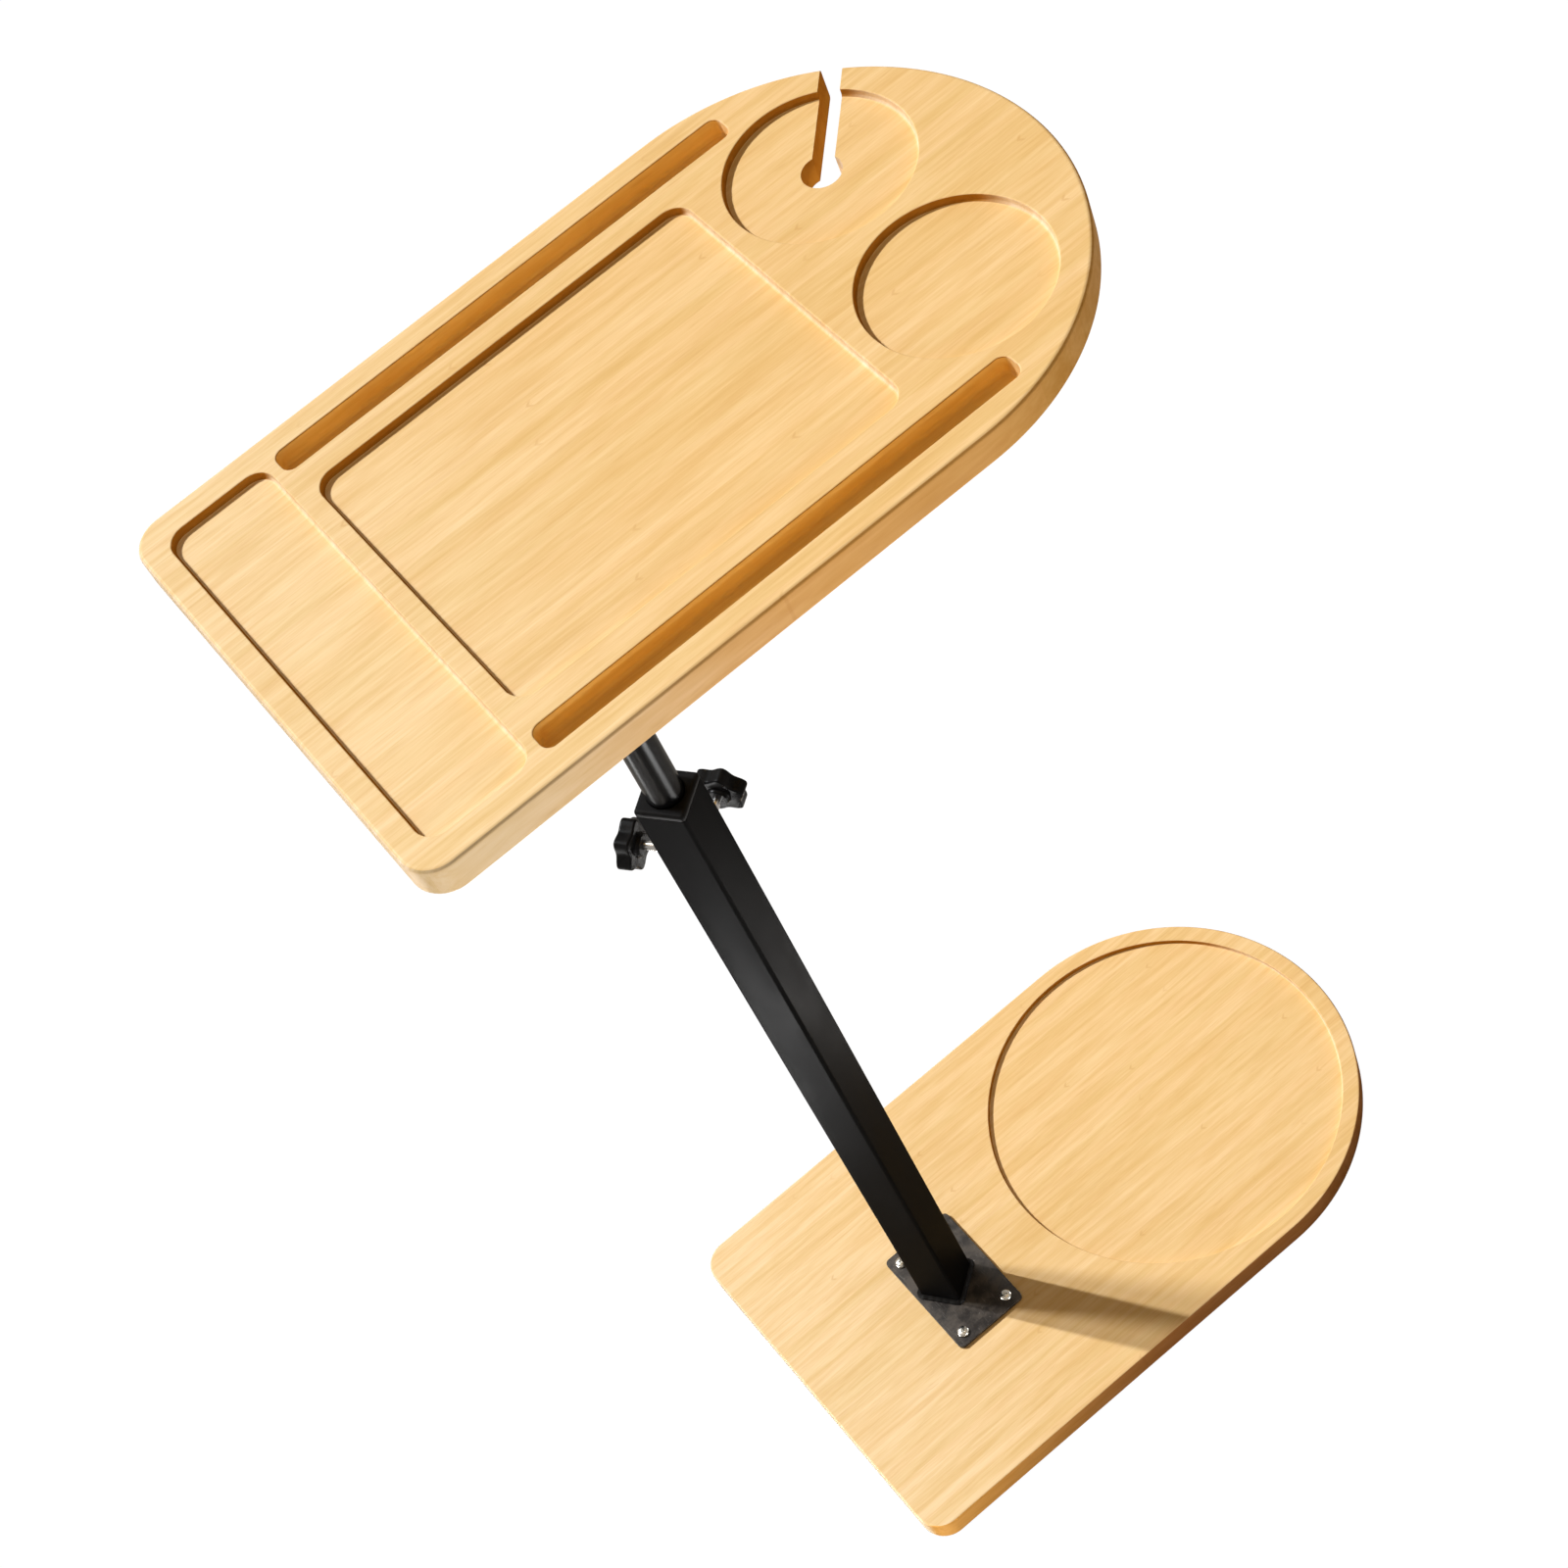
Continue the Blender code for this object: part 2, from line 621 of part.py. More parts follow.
def make_welds(square_frame, column, stand_material, column_material):
    """Fillets of weld: one round the square tube's foot, one round the top of the round tube."""
    outer = rounded_square(
        OUTER_TUBE_SIDE + 2 * GAP, OUTER_TUBE_CORNER_RADIUS + GAP, TUBE_CORNER_STEPS)
    foot = [(-WELD_SIZE, GAP), (-WELD_SIZE / 2, GAP + WELD_SIZE / 2), (0, GAP + WELD_SIZE), (0, GAP)]
    sleeve("base_weld", outer, foot, square_frame, (0, 0, BASE_PLATE_TOP), stand_material)
    round_outline = circle(INNER_TUBE_RADIUS + GAP, TUBE_SIDES)
    head = [(-WELD_SIZE, -GAP), (0, -GAP), (0, -GAP - WELD_SIZE), (-WELD_SIZE / 2, -GAP - WELD_SIZE / 2)]
    sleeve("upper_weld", round_outline, head, column, (0, 0, UPPER_PLATE_BOTTOM), column_material)


def make_tube_plug(parent, material):
    radius = INNER_TUBE_RADIUS - INNER_TUBE_WALL - GAP
    section = block_section(0, PLUG_LENGTH, 0, PLATE_EDGE_ROUND)
    plug = solid(
        "tube_plug", circle(radius, TUBE_SIDES), section, parent, (0, 0, INNER_TUBE_BOTTOM), material)
    bore = hole_cutter(
        "plug_bore_cutter", SCREW_RADIUS + GAP, -OVERSHOOT, GUIDE_SCREW_BITE + PILOT_SPARE_DEPTH,
        [(0, 0)], parent, (0, 0, INNER_TUBE_BOTTOM))
    return cut(plug, bore)


def make_guide_bush(parent, material):
    """The square plastic guide that slides in the outer tube and keeps the round tube central."""
    side = OUTER_TUBE_INSIDE - 2 * GAP
    outline = rounded_square(side, GUIDE_CORNER_RADIUS, TUBE_CORNER_STEPS)
    section = block_section(0, GUIDE_HEIGHT, PLATE_EDGE_ROUND, PLATE_EDGE_ROUND)
    bush = solid("guide_bush", outline, section, parent, (0, 0, GUIDE_BOTTOM), material)
    bore = hole_cutter(
        "bush_bore_cutter", SCREW_RADIUS + RUNNING_GAP, -OVERSHOOT, GUIDE_HEIGHT + OVERSHOOT,
        [(0, 0)], parent, (0, 0, GUIDE_BOTTOM))
    return cut(bush, bore)


def make_washer(parent, material):
    radius = WASHER_DIAMETER / 2
    inside = radius - SCREW_RADIUS - SCREW_HOLE_GAP
    section = [(0, 0), (0, WASHER_THICKNESS), (inside, WASHER_THICKNESS), (inside, 0)]
    outline = circle(radius, TUBE_SIDES)
    return sleeve("bush_washer", outline, section, parent, (0, 0, WASHER_BOTTOM), material)


def make_clamp(side, angle, knob_turn, pole, materials):
    """One clamp. Its axis empty points out of the tube's face, so local z is the way out."""
    black, steel = materials
    face = OUTER_TUBE_SIDE / 2
    tip = INNER_TUBE_RADIUS + GAP
    hub = face + KNOB_STANDOFF
    length = hub + STUD_IN_KNOB - tip
    turn = OUTER_TUBE_TURN + angle
    axis = empty("clamp_axis_" + side, (0, 0, CLAMP_HEIGHT), (0, 90, turn), pole)

    section = [(STUD_CHAMFER, 0), (0, STUD_CHAMFER), (0, length - STUD_CHAMFER), (STUD_CHAMFER, length)]
    name = "clamp_stud_" + side
    solid(name, circle(STUD_RADIUS, SMALL_SIDES), section, axis, (0, 0, tip),
          make_material(name, BRIGHT_STEEL, 0.25, 1.0))

    make_clamp_nut("clamp_nut_" + side, face + GAP, axis, steel)
    make_clamp_knob("clamp_knob_" + side, hub, knob_turn, axis, black)


def make_clamp_nut(name, bottom, axis, colour):
    """A hexagonal nut welded on the tube's face."""
    across_corners = NUT_ACROSS_FLATS / math.cos(math.pi / 6)
    material = make_material(name, colour, 0.45, 0.6)
    nut = solid(name, circle(across_corners / 2, 6), block_section(0, NUT_HEIGHT), axis,
                (0, 0, bottom), material)
    bore = hole_cutter(name + "_bore_cutter", STUD_RADIUS + RUNNING_GAP, -OVERSHOOT, NUT_HEIGHT + OVERSHOOT,
                       [(0, 0)], axis, (0, 0, bottom))
    return cut(nut, bore)


def make_clamp_knob(name, bottom, turn, axis, colour):
    """A lobed grip with a round hub on the side of the stud, turned as it was left when tightened."""
    grip = star(KNOB_DIAMETER / 2, KNOB_LOBES, KNOB_VALLEY_DEPTH)
    hub = circle(HUB_DIAMETER / 2, KNOB_LOBES * LOBE_POINTS)
    mesh = bmesh.new()
    rings = [add_ring(mesh, hub(KNOB_EDGE_ROUND / 2), 0), add_ring(mesh, hub(0), KNOB_EDGE_ROUND / 2),
             add_ring(mesh, hub(0), HUB_HEIGHT)]
    low = HUB_HEIGHT
    high = HUB_HEIGHT + KNOB_THICKNESS
    for inset, height in block_section(low, high, KNOB_EDGE_ROUND, KNOB_EDGE_ROUND):
        rings.append(add_ring(mesh, grip(inset), height))
    for lower, upper in zip(rings, rings[1:]):
        join_rings(mesh, lower, upper)
    mesh.faces.new(list(reversed(rings[0])))
    mesh.faces.new(rings[-1])
    bmesh.ops.rotate(mesh, verts=mesh.verts, cent=(0, 0, 0), matrix=Matrix.Rotation(math.radians(turn), 3, "Z"))
    knob = place(name, mesh, axis, (0, 0, bottom), make_material(name, colour, 0.35, 0.0))
    bore = hole_cutter(name + "_bore_cutter", STUD_RADIUS + RUNNING_GAP, -OVERSHOOT,
                       STUD_IN_KNOB + GAP, [(0, 0)], axis, (0, 0, bottom))
    return cut(knob, bore)


def make_stand(pole):
    """Everything that stays still: base board, pads, plate, square tube, cap and nuts."""
    square_frame = empty("square_tube_axis", (0, 0, 0), (0, 0, OUTER_TUBE_TURN), pole)
    make_base_board(pole, make_material("base_board", BAMBOO, 0.5, 0.0))
    make_foot_pads(pole, DARK_RUBBER)
    plate_middle = empty("base_plate_middle", (*BASE_PLATE_SHIFT, 0), parent=pole)
    make_plate("base_plate", BASE_PLATE_BOTTOM, plate_middle,
               make_material("base_plate", DARK_STEEL, 0.5, 0.8))
    make_plate_screws("base", plate_middle, BASE_PLATE_TOP + GAP)
    make_outer_tube(square_frame, make_material("outer_tube", BLACK_PAINT, 0.4, 0.0))
    make_top_cap(square_frame, make_material("top_cap", BLACK_PLASTIC, 0.5, 0.0))
    return square_frame


def make_column(column):
    """Everything that turns with the tabletop."""
    make_tabletop(column, make_material("tabletop", BAMBOO, 0.5, 0.0))
    make_plate("upper_plate", UPPER_PLATE_BOTTOM, column,
               make_material("upper_plate", DARK_STEEL, 0.5, 0.8))
    make_plate_screws("upper", column, UPPER_PLATE_BOTTOM - GAP, upside_down=True)
    make_inner_tube(column, make_material("inner_tube", BLACK_PAINT, 0.3, 0.0))
    make_tube_plug(column, make_material("tube_plug", BLACK_PLASTIC, 0.6, 0.0))
    make_washer(column, make_material("bush_washer", BRIGHT_STEEL, 0.35, 1.0))
    make_screw("bush_screw", (0, 0), GUIDE_SCREW_LENGTH, column, GUIDE_SCREW_SEAT, BRIGHT_STEEL,
               upside_down=True)


def build():
    clear_scene()
    pole = empty("pole_axis", (POLE_X, 0, 0))
    square_frame = make_stand(pole)
    column = empty("column_axis", (0, 0, 0), parent=pole)
    make_column(column)
    make_welds(square_frame, column, make_material("base_weld", BLACK_PAINT, 0.5, 0.0),
               make_material("upper_weld", BLACK_PAINT, 0.5, 0.0))
    make_guide_bush(square_frame, make_material("guide_bush", BLACK_PLASTIC, 0.6, 0.0))
    for side, angle, knob_turn in (("left", LEFT_FACE_ANGLE, LEFT_KNOB_TURN),
                                   ("right", RIGHT_FACE_ANGLE, RIGHT_KNOB_TURN)):
        make_clamp(side, angle, knob_turn, pole, (BLACK_PLASTIC, BLACK_PAINT))


build()
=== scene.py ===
"""The finished look of the bathtub side table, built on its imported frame.

The pieces that show are rebuilt here with finer rounds, threads and weld ripples, and each lies
where its CAD node lies. Every material is made of nodes. Lengths are in metres, and named angles
in degrees unless a comment says radians.
"""

import math

import bmesh
import bpy
from mathutils import Matrix, Vector


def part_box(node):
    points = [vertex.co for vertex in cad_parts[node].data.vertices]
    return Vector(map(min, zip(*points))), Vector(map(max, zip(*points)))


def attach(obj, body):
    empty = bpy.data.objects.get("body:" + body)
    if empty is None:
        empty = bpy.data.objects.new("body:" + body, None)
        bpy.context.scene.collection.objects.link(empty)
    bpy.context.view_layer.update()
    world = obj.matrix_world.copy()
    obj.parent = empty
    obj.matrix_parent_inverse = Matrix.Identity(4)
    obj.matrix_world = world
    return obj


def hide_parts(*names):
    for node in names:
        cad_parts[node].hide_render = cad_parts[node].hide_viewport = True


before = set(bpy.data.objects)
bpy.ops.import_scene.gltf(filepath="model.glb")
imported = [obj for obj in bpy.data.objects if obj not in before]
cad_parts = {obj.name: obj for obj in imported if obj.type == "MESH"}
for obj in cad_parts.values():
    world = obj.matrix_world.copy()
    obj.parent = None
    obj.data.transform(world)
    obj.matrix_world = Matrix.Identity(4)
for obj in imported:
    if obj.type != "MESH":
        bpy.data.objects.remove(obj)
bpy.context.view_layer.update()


# Places that the frame gives

def centre(node):
    """The middle of a node's box, as x, y and z."""
    return [(low + high) / 2 for low, high in zip(*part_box(node))]


TOP_LOW, TOP_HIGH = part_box("tabletop")
BASE_LOW, BASE_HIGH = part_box("base_board")
POLE_X = centre("inner_tube")[0]
CLAMP_Z = centre("clamp_nut_left")[2]

# The square tube's turn about the vertical, and the way that each clamp points
TUBE_TURN = 36.5
CLAMPS = {"left": TUBE_TURN + 90.0, "right": TUBE_TURN}


# Outlines: each returns a function of the inset that gives a list of points.

ARC_STEPS = 12
TIP_STEPS = 96


def turned(x, y, angle):
    """A point turned about the origin, by an angle in radians."""
    return x * math.cos(angle) - y * math.sin(angle), x * math.sin(angle) + y * math.cos(angle)


def arc(x, y, radius, start, end, steps=ARC_STEPS):
    """Points round a centre, from one angle to another in degrees."""
    points = []
    for k in range(steps + 1):
        angle = math.radians(start + (end - start) * k / steps)
        points.append((x + radius * math.cos(angle), y + radius * math.sin(angle)))
    return points


def circle(x, y, radius, sides):
    return lambda inset: arc(x, y, radius - inset, 0, 360 - 360 / sides, sides - 1)


def rounded_rectangle(x0, y0, x1, y1, radius, steps=ARC_STEPS):
    def outline(inset):
        turn = radius - inset
        points = arc(x1 - radius, y0 + radius, turn, -90, 0, steps)
        points += arc(x1 - radius, y1 - radius, turn, 0, 90, steps)
        points += arc(x0 + radius, y1 - radius, turn, 90, 180, steps)
        points += arc(x0 + radius, y0 + radius, turn, 180, 270, steps)
        return points
    return outline


def d_shape(low, high, corner):
    """Square end at the low x, half-round end at the high x."""
    half = (high.y - low.y) / 2
    tip_centre = high.x - half

    def outline(inset):
        points = arc(low.x + corner, corner - half, corner - inset, 180, 270)
        points += arc(tip_centre, 0, half - inset, -90, 90, TIP_STEPS)
        points += arc(low.x + corner, half - corner, corner - inset, 90, 180)
        return points
    return outline


def dense_square(side, radius, corner_steps=8, flat_steps=10):
    """A rounded square with points along its flats too, turned as the square tube is."""
    half = side / 2
    flat_half = half - radius

    def outline(inset):
        flat = [(half - inset, -flat_half + 2 * flat_half * k / flat_steps) for k in range(flat_steps)]
        corner = arc(flat_half, flat_half, radius - inset, 0, 90, corner_steps)[:-1]
        points = []
        for quarter_turn in range(4):
            angle = math.radians(90 * quarter_turn) + math.radians(TUBE_TURN)
            points += [turned(x, y, angle) for x, y in flat + corner]
        return points
    return outline


def moved_to_pole(outline):
    return lambda inset: [(x + POLE_X, y) for x, y in outline(inset)]


def inside(points, place):
    """True where a place is within a closed outline."""
    hit = False
    for (x0, y0), (x1, y1) in zip(points, points[1:] + points[:1]):
        if (y0 > place.y) != (y1 > place.y):
            crossing = x0 + (x1 - x0) * (place.y - y0) / (y1 - y0)
            if place.x < crossing:
                hit = not hit
    return hit


# Meshes

CUT_CLEAR = 0.004

# A cutter's lip beyond the rim, as shares of the rim's radius
LIP_OUT = 1.35
LIP_UP = 0.25


def ring(mesh, points, z):
    return [mesh.verts.new((x, y, z)) for x, y in points]


def outline_rings(mesh, outline, section):
    """One ring for each inset and height of a section."""
    return [ring(mesh, outline(inset), z) for inset, z in section]


def polar_ring(mesh, sides, z, reach, phase=0.0):
    """A ring round the z axis. reach gives the radius at each share of the turn. phase is in radians."""
    points = []
    for k in range(sides):
        share = k / sides
        radius = reach(share)
        angle = 2 * math.pi * share + phase
        points.append((radius * math.cos(angle), radius * math.sin(angle)))
    return ring(mesh, points, z)


def bridge(mesh, lower, upper):
    count = len(lower)
    for k in range(count):
        after = (k + 1) % count
        mesh.faces.new((lower[k], lower[after], upper[after], upper[k]))


def join_as_solid(mesh, rings):
    """Joins each ring to the next and closes both ends."""
    for lower, upper in zip(rings, rings[1:]):
        bridge(mesh, lower, upper)
    mesh.faces.new(list(reversed(rings[0])))
    mesh.faces.new(rings[-1])


def join_as_sleeve(mesh, rings):
    """Joins each ring to the next, and the last to the first."""
    for k, lower in enumerate(rings):
        bridge(mesh, lower, rings[(k + 1) % len(rings)])


def make_object(name, mesh, matrix=None):
    data = bpy.data.meshes.new(name)
    if matrix is not None:
        bmesh.ops.transform(mesh, matrix=matrix, verts=mesh.verts)
    mesh.to_mesh(data)
    mesh.free()
    item = bpy.data.objects.new(name, data)
    bpy.context.scene.collection.objects.link(item)
    return item


def solid(name, outline, section):
    mesh = bmesh.new()
    join_as_solid(mesh, outline_rings(mesh, outline, section))
    return make_object(name, mesh)


def sleeve(name, outline, section):
    mesh = bmesh.new()
    join_as_sleeve(mesh, outline_rings(mesh, outline, section))
    return make_object(name, mesh)


def quarter_round(steps):
    """Pairs along a quarter round: the first falls from 1 to 0 while the second rises from 0 to 1."""
    angles = [math.pi / 2 * k / steps for k in range(steps + 1)]
    return [(1 - math.sin(angle), 1 - math.cos(angle)) for angle in angles]


def rounded_section(low, high, low_round, high_round, steps=5):
    pairs = quarter_round(steps)
    section = [(low_round * falling, low + low_round * rising) for falling, rising in pairs]
    section += [(high_round * rising, high - high_round * falling) for falling, rising in pairs]
    return section


def recess_section(top, depth, cove, rim):
    """A cutter's section: a cove at the floor, the wall, a rounded rim and a lip that clears the board."""
    floor = top - depth
    section = [(cove * falling, floor + cove * rising) for falling, rising in quarter_round(steps=6)]
    for degrees in (0, 18, 36, 54, 70):
        angle = math.radians(degrees)
        section.append((-rim * (1 - math.cos(angle)), top - rim * (1 - math.sin(angle))))
    section.append((-rim * LIP_OUT, top + rim * LIP_UP))
    section.append((-rim * LIP_OUT, top + CUT_CLEAR))
    return section


def carve(body, cutters):
    """Cuts the cutters out of the body's mesh and removes them."""
    for cutter in cutters:
        modifier = body.modifiers.new(cutter.name, "BOOLEAN")
        modifier.operation = "DIFFERENCE"
        modifier.solver = "EXACT"
        modifier.object = cutter
    bpy.context.view_layer.update()
    evaluated = body.evaluated_get(bpy.context.evaluated_depsgraph_get())
    data = bpy.data.meshes.new_from_object(evaluated)
    body.modifiers.clear()
    body.data = data
    for cutter in cutters:
        bpy.data.objects.remove(cutter, do_unlink=True)


def smooth(item, sharp_degrees):
    """Smooth shading that keeps every edge sharper than the given angle."""
    item.data.shade_smooth()
    item.data.set_sharp_from_angle(angle=math.radians(sharp_degrees))
    weighted = item.modifiers.new("weighted_normals", "WEIGHTED_NORMAL")
    weighted.keep_sharp = True
    weighted.weight = 80


def finish_piece(item, body, node, materials, sharp_degrees=35.0):
    """Shades a piece, gives it its materials, hangs it on its body and lets it stand for its node."""
    slots = [face.material_index for face in item.data.polygons]
    item.data.materials.clear()
    for material in materials:
        item.data.materials.append(material)
    if len(materials) > 1:
        item.data.polygons.foreach_set("material_index", slots)
    smooth(item, sharp_degrees)
    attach(item, body)
    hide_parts(node)


# Node helpers

def connect(tree, value, socket):
    """Links another node's output to a socket, or sets the socket to a plain value."""
    if isinstance(value, bpy.types.NodeSocket):
        tree.links.new(value, socket)
    else:
        socket.default_value = value


def add_node(tree, kind, sockets=None, **settings):
    item = tree.nodes.new(kind)
    for key, value in settings.items():
        setattr(item, key, value)
    for key, value in (sockets or {}).items():
        connect(tree, value, item.inputs[key])
    return item


def maths(tree, operation, first, second=0.0, third=0.0):
    item = add_node(tree, "ShaderNodeMath", {0: first, 1: second, 2: third}, operation=operation)
    return item.outputs[0]


def span(tree, value, low, high, to_low=0.0, to_high=1.0):
    """Maps a value from one range to another, smoothly and clamped."""
    sockets = {"Value": value, "From Min": low, "From Max": high, "To Min": to_low, "To Max": to_high}
    item = add_node(tree, "ShaderNodeMapRange", sockets, interpolation_type="SMOOTHSTEP")
    return item.outputs[0]


def mix_colour(tree, share, first, second, blend="MIX"):
    item = add_node(tree, "ShaderNodeMix", data_type="RGBA", blend_type=blend)
    connect(tree, share, item.inputs[0])
    connect(tree, first, item.inputs[6])
    connect(tree, second, item.inputs[7])
    return item.outputs[2]


def stretched_noise(tree, place, scale, detail, roughness=0.5, offset=(0, 0, 0)):
    """Noise with its own scale along x, y and z, in repeats per metre."""
    moved = add_node(tree, "ShaderNodeMapping", {"Vector": place, "Scale": scale, "Location": offset})
    sockets = {"Vector": moved.outputs[0], "Scale": 1.0, "Detail": detail, "Roughness": roughness}
    return add_node(tree, "ShaderNodeTexNoise", sockets).outputs[0]


def bump(tree, shader, height, strength, distance):
    sockets = {"Height": height, "Strength": strength, "Distance": distance}
    item = add_node(tree, "ShaderNodeBump", sockets)
    tree.links.new(item.outputs[0], shader.inputs["Normal"])


def paint(tree, shader, colour, roughness):
    tree.links.new(colour, shader.inputs["Base Color"])
    tree.links.new(roughness, shader.inputs["Roughness"])


def own_normal(tree):
    """The face's normal in the piece's own frame, which turns with the piece."""
    return add_node(tree, "ShaderNodeTexCoord").outputs["Normal"]


def scaled(colour, factor):
    return (*(factor * channel for channel in colour), 1)


def new_material(name, roughness, metallic=0.0, specular=0.5):
    material = bpy.data.materials.new(name)
    material.use_nodes = True
    tree = material.node_tree
    shader = tree.nodes["Principled BSDF"]
    shader.inputs["Roughness"].default_value = roughness
    shader.inputs["Metallic"].default_value = metallic
    shader.inputs["Specular IOR Level"].default_value = specular
    place = tree.nodes.new("ShaderNodeTexCoord").outputs["Object"]
    return material, tree, shader, place


# Bamboo

LIGHT_BAMBOO = (0.940, 0.664, 0.309, 1)
MID_BAMBOO = (0.908, 0.615, 0.264, 1)
DARK_BAMBOO = (0.70, 0.38, 0.12, 1)
PINK_BAMBOO = (0.97, 0.65, 0.32, 1)

# Tints multiply the wood's colour, and paint light and shade into it. Where there are two, the second is
# the one towards the round end.
# Painted sheen: the top is paler and bluer at the square end, fading towards the round end.
TOP_PAINTED_SHEEN_TINTS = (1.01, 1.10, 1.30, 1), (1.0, 1.02, 1.06, 1)
# Painted light and shade on the top's edges: paler at the square end, darker and browner towards the round
# end.
TOP_EDGE_PAINTED_SHADING_TINTS = (0.74, 0.84, 1.15, 1), (0.78, 0.62, 0.40, 1)
# Painted sheen on the base, paler and bluer at the square end.
BASE_PAINTED_SHEEN_TINTS = (1.03, 1.13, 1.40, 1), (0.98, 1.01, 1.08, 1)
# Painted shade on the base's sides, darkest towards the round end.
BASE_EDGE_PAINTED_SHADE_TINTS = (1.0, 0.76, 0.43, 1), (0.56, 0.35, 0.24, 1)
# Painted light: paler edges where they face the key light.
EDGE_LIT_TINT = (1.04, 1.22, 1.90, 1)
# Painted shade on the walls cut into the boards, and painted light on those that face the key light.
MILLED_PAINTED_SHADE_TINT = (0.55, 0.34, 0.10, 1)
MILLED_LIT_TINT = (1.0, 1.15, 1.75, 1)
# Painted shade in the long grooves, deeper orange with less blue, and painted light where their walls face
# the key light.
GROOVE_PAINTED_SHADE_TINT = (1.02, 1.00, 0.70, 1)
GROOVE_LIT_TINT = (0.93, 0.98, 1.10, 1)
# The painted light and shade grade from the first tint to the second between these x.
TINT_FROM_X = -0.24
TINT_TO_X = 0.0

STRIP_WIDTH = 0.0085
STRIP_CONTRAST = 0.04
SWAY_WIDTH = 0.0055
KNOT_SPACING = 0.235
KNOT_STAGGER = 7.3
KNOT_BOW = 0.009
FIBRE_DOTS = 1300.0

# Noise scales along x, y and z
SWAY_SCALE = (3.0, 9.0, 9.0)
BROAD_SCALE = (5.0, 75.0, 40.0)
STREAK_SCALE = (17.0, 240.0, 110.0)
FINE_SCALE = (34.0, 900.0, 380.0)
LINE_SCALE = (14.0, 330.0, 130.0)
DASH_SCALE = (52.0, 620.0, 300.0)

# How much of its colour each kind of mark brings
PINK_SHARE = 0.35
LINE_SHARE = 0.17
DASH_SHARE = 0.26
KNOT_SHARE = 0.46
END_GRAIN_SHARE = 0.22

# A darker tone takes more from green than from red, and most from blue
GREEN_POWER = 1.7
BLUE_POWER = 3.4

# The way towards the key light, which the walls and edges with painted light face
BACK_LEFT = (-0.57, 0.82, 0.0)


def bamboo(name, tint, lit_tint=None, specular=0.16, right_tint=None):
    """Strips of bamboo along x, with fibre streaks, dark lines, short dashes and small node marks.

    right_tint takes over from tint towards the round end, and lit_tint on walls that face back and left,
    towards the key light. The tints paint light and shade into the wood.
    """
    material, tree, shader, place = new_material(name, 0.48, specular=specular)
    sway = stretched_noise(tree, place, SWAY_SCALE, 1.0)
    x, y, z = add_node(tree, "ShaderNodeSeparateXYZ", {0: place}).outputs
    offset = maths(tree, "MULTIPLY", maths(tree, "SUBTRACT", sway, 0.5), SWAY_WIDTH)
    across = maths(tree, "ADD", y, offset)
    strip = maths(tree, "FLOOR", maths(tree, "DIVIDE", across, STRIP_WIDTH))
    chance = add_node(tree, "ShaderNodeTexWhiteNoise", {"W": strip}, noise_dimensions="1D").outputs["Value"]
    swayed = add_node(tree, "ShaderNodeCombineXYZ", {0: x, 1: across, 2: z}).outputs[0]

    broad = stretched_noise(tree, swayed, BROAD_SCALE, 2.0, 0.55)
    streak = stretched_noise(tree, swayed, STREAK_SCALE, 3.0, 0.62)
    fine = stretched_noise(tree, swayed, FINE_SCALE, 2.0, 0.6)
    lines = span(tree, stretched_noise(tree, swayed, LINE_SCALE, 1.5, 0.5, (3, 7, 1)), 0.56, 0.76)

    colour = mix_colour(tree, span(tree, broad, 0.30, 0.70), MID_BAMBOO, LIGHT_BAMBOO)
    colour = mix_colour(tree, maths(tree, "MULTIPLY", chance, PINK_SHARE), colour, PINK_BAMBOO)
    colour = mix_colour(tree, 1.0, colour, fibre_tone(tree, chance, streak, fine), "MULTIPLY")
    colour = mix_colour(tree, maths(tree, "MULTIPLY", lines, LINE_SHARE), colour, DARK_BAMBOO)
    dashes = span(tree, stretched_noise(tree, swayed, DASH_SCALE, 1.0, 0.5, (5, 2, 8)), 0.66, 0.80)
    colour = mix_colour(tree, maths(tree, "MULTIPLY", dashes, DASH_SHARE), colour, DARK_BAMBOO)
    colour = mix_colour(tree, knot_marks(tree, x, across, strip, chance), colour, DARK_BAMBOO)
    colour = mix_colour(tree, end_grain(tree, place), colour, DARK_BAMBOO)
    # Painted light and shade: the tint grades along x and turns pale on faces towards the key light.
    if right_tint:
        tint = mix_colour(tree, span(tree, x, TINT_FROM_X, TINT_TO_X), tint, right_tint)
    if lit_tint:
        tint = mix_colour(tree, painted_light_side(tree), tint, lit_tint)
    colour = mix_colour(tree, 1.0, colour, tint, "MULTIPLY")
    paint(tree, shader, colour, span(tree, streak, 0.2, 0.8, 0.54, 0.43))
    height = maths(tree, "ADD", maths(tree, "MULTIPLY", streak, 0.7), maths(tree, "MULTIPLY", fine, 0.3))
    bump(tree, shader, height, 0.25, 0.0002)
    return material


def fibre_tone(tree, chance, streak, fine):
    """The light and dark of strips and fibres, as a colour near white."""
    tone = maths(tree, "MULTIPLY_ADD", chance, STRIP_CONTRAST, 1 - STRIP_CONTRAST)
    tone = maths(tree, "MULTIPLY", tone, span(tree, streak, 0.25, 0.72, 0.92, 1.02))
    tone = maths(tree, "MULTIPLY", tone, span(tree, fine, 0.25, 0.75, 0.97, 1.015))
    green = maths(tree, "POWER", tone, GREEN_POWER)
    blue = maths(tree, "POWER", tone, BLUE_POWER)
    return add_node(tree, "ShaderNodeCombineColor", {0: tone, 1: green, 2: blue}).outputs[0]


def painted_light_side(tree):
    """1 on recess walls and edges that look back and to the left, towards the key light, where a paler tint
    is painted as light.
    """
    sockets = {0: own_normal(tree), 1: BACK_LEFT}
    way = add_node(tree, "ShaderNodeVectorMath", sockets, operation="DOT_PRODUCT")
    return span(tree, way.outputs["Value"], -0.10, 0.30)


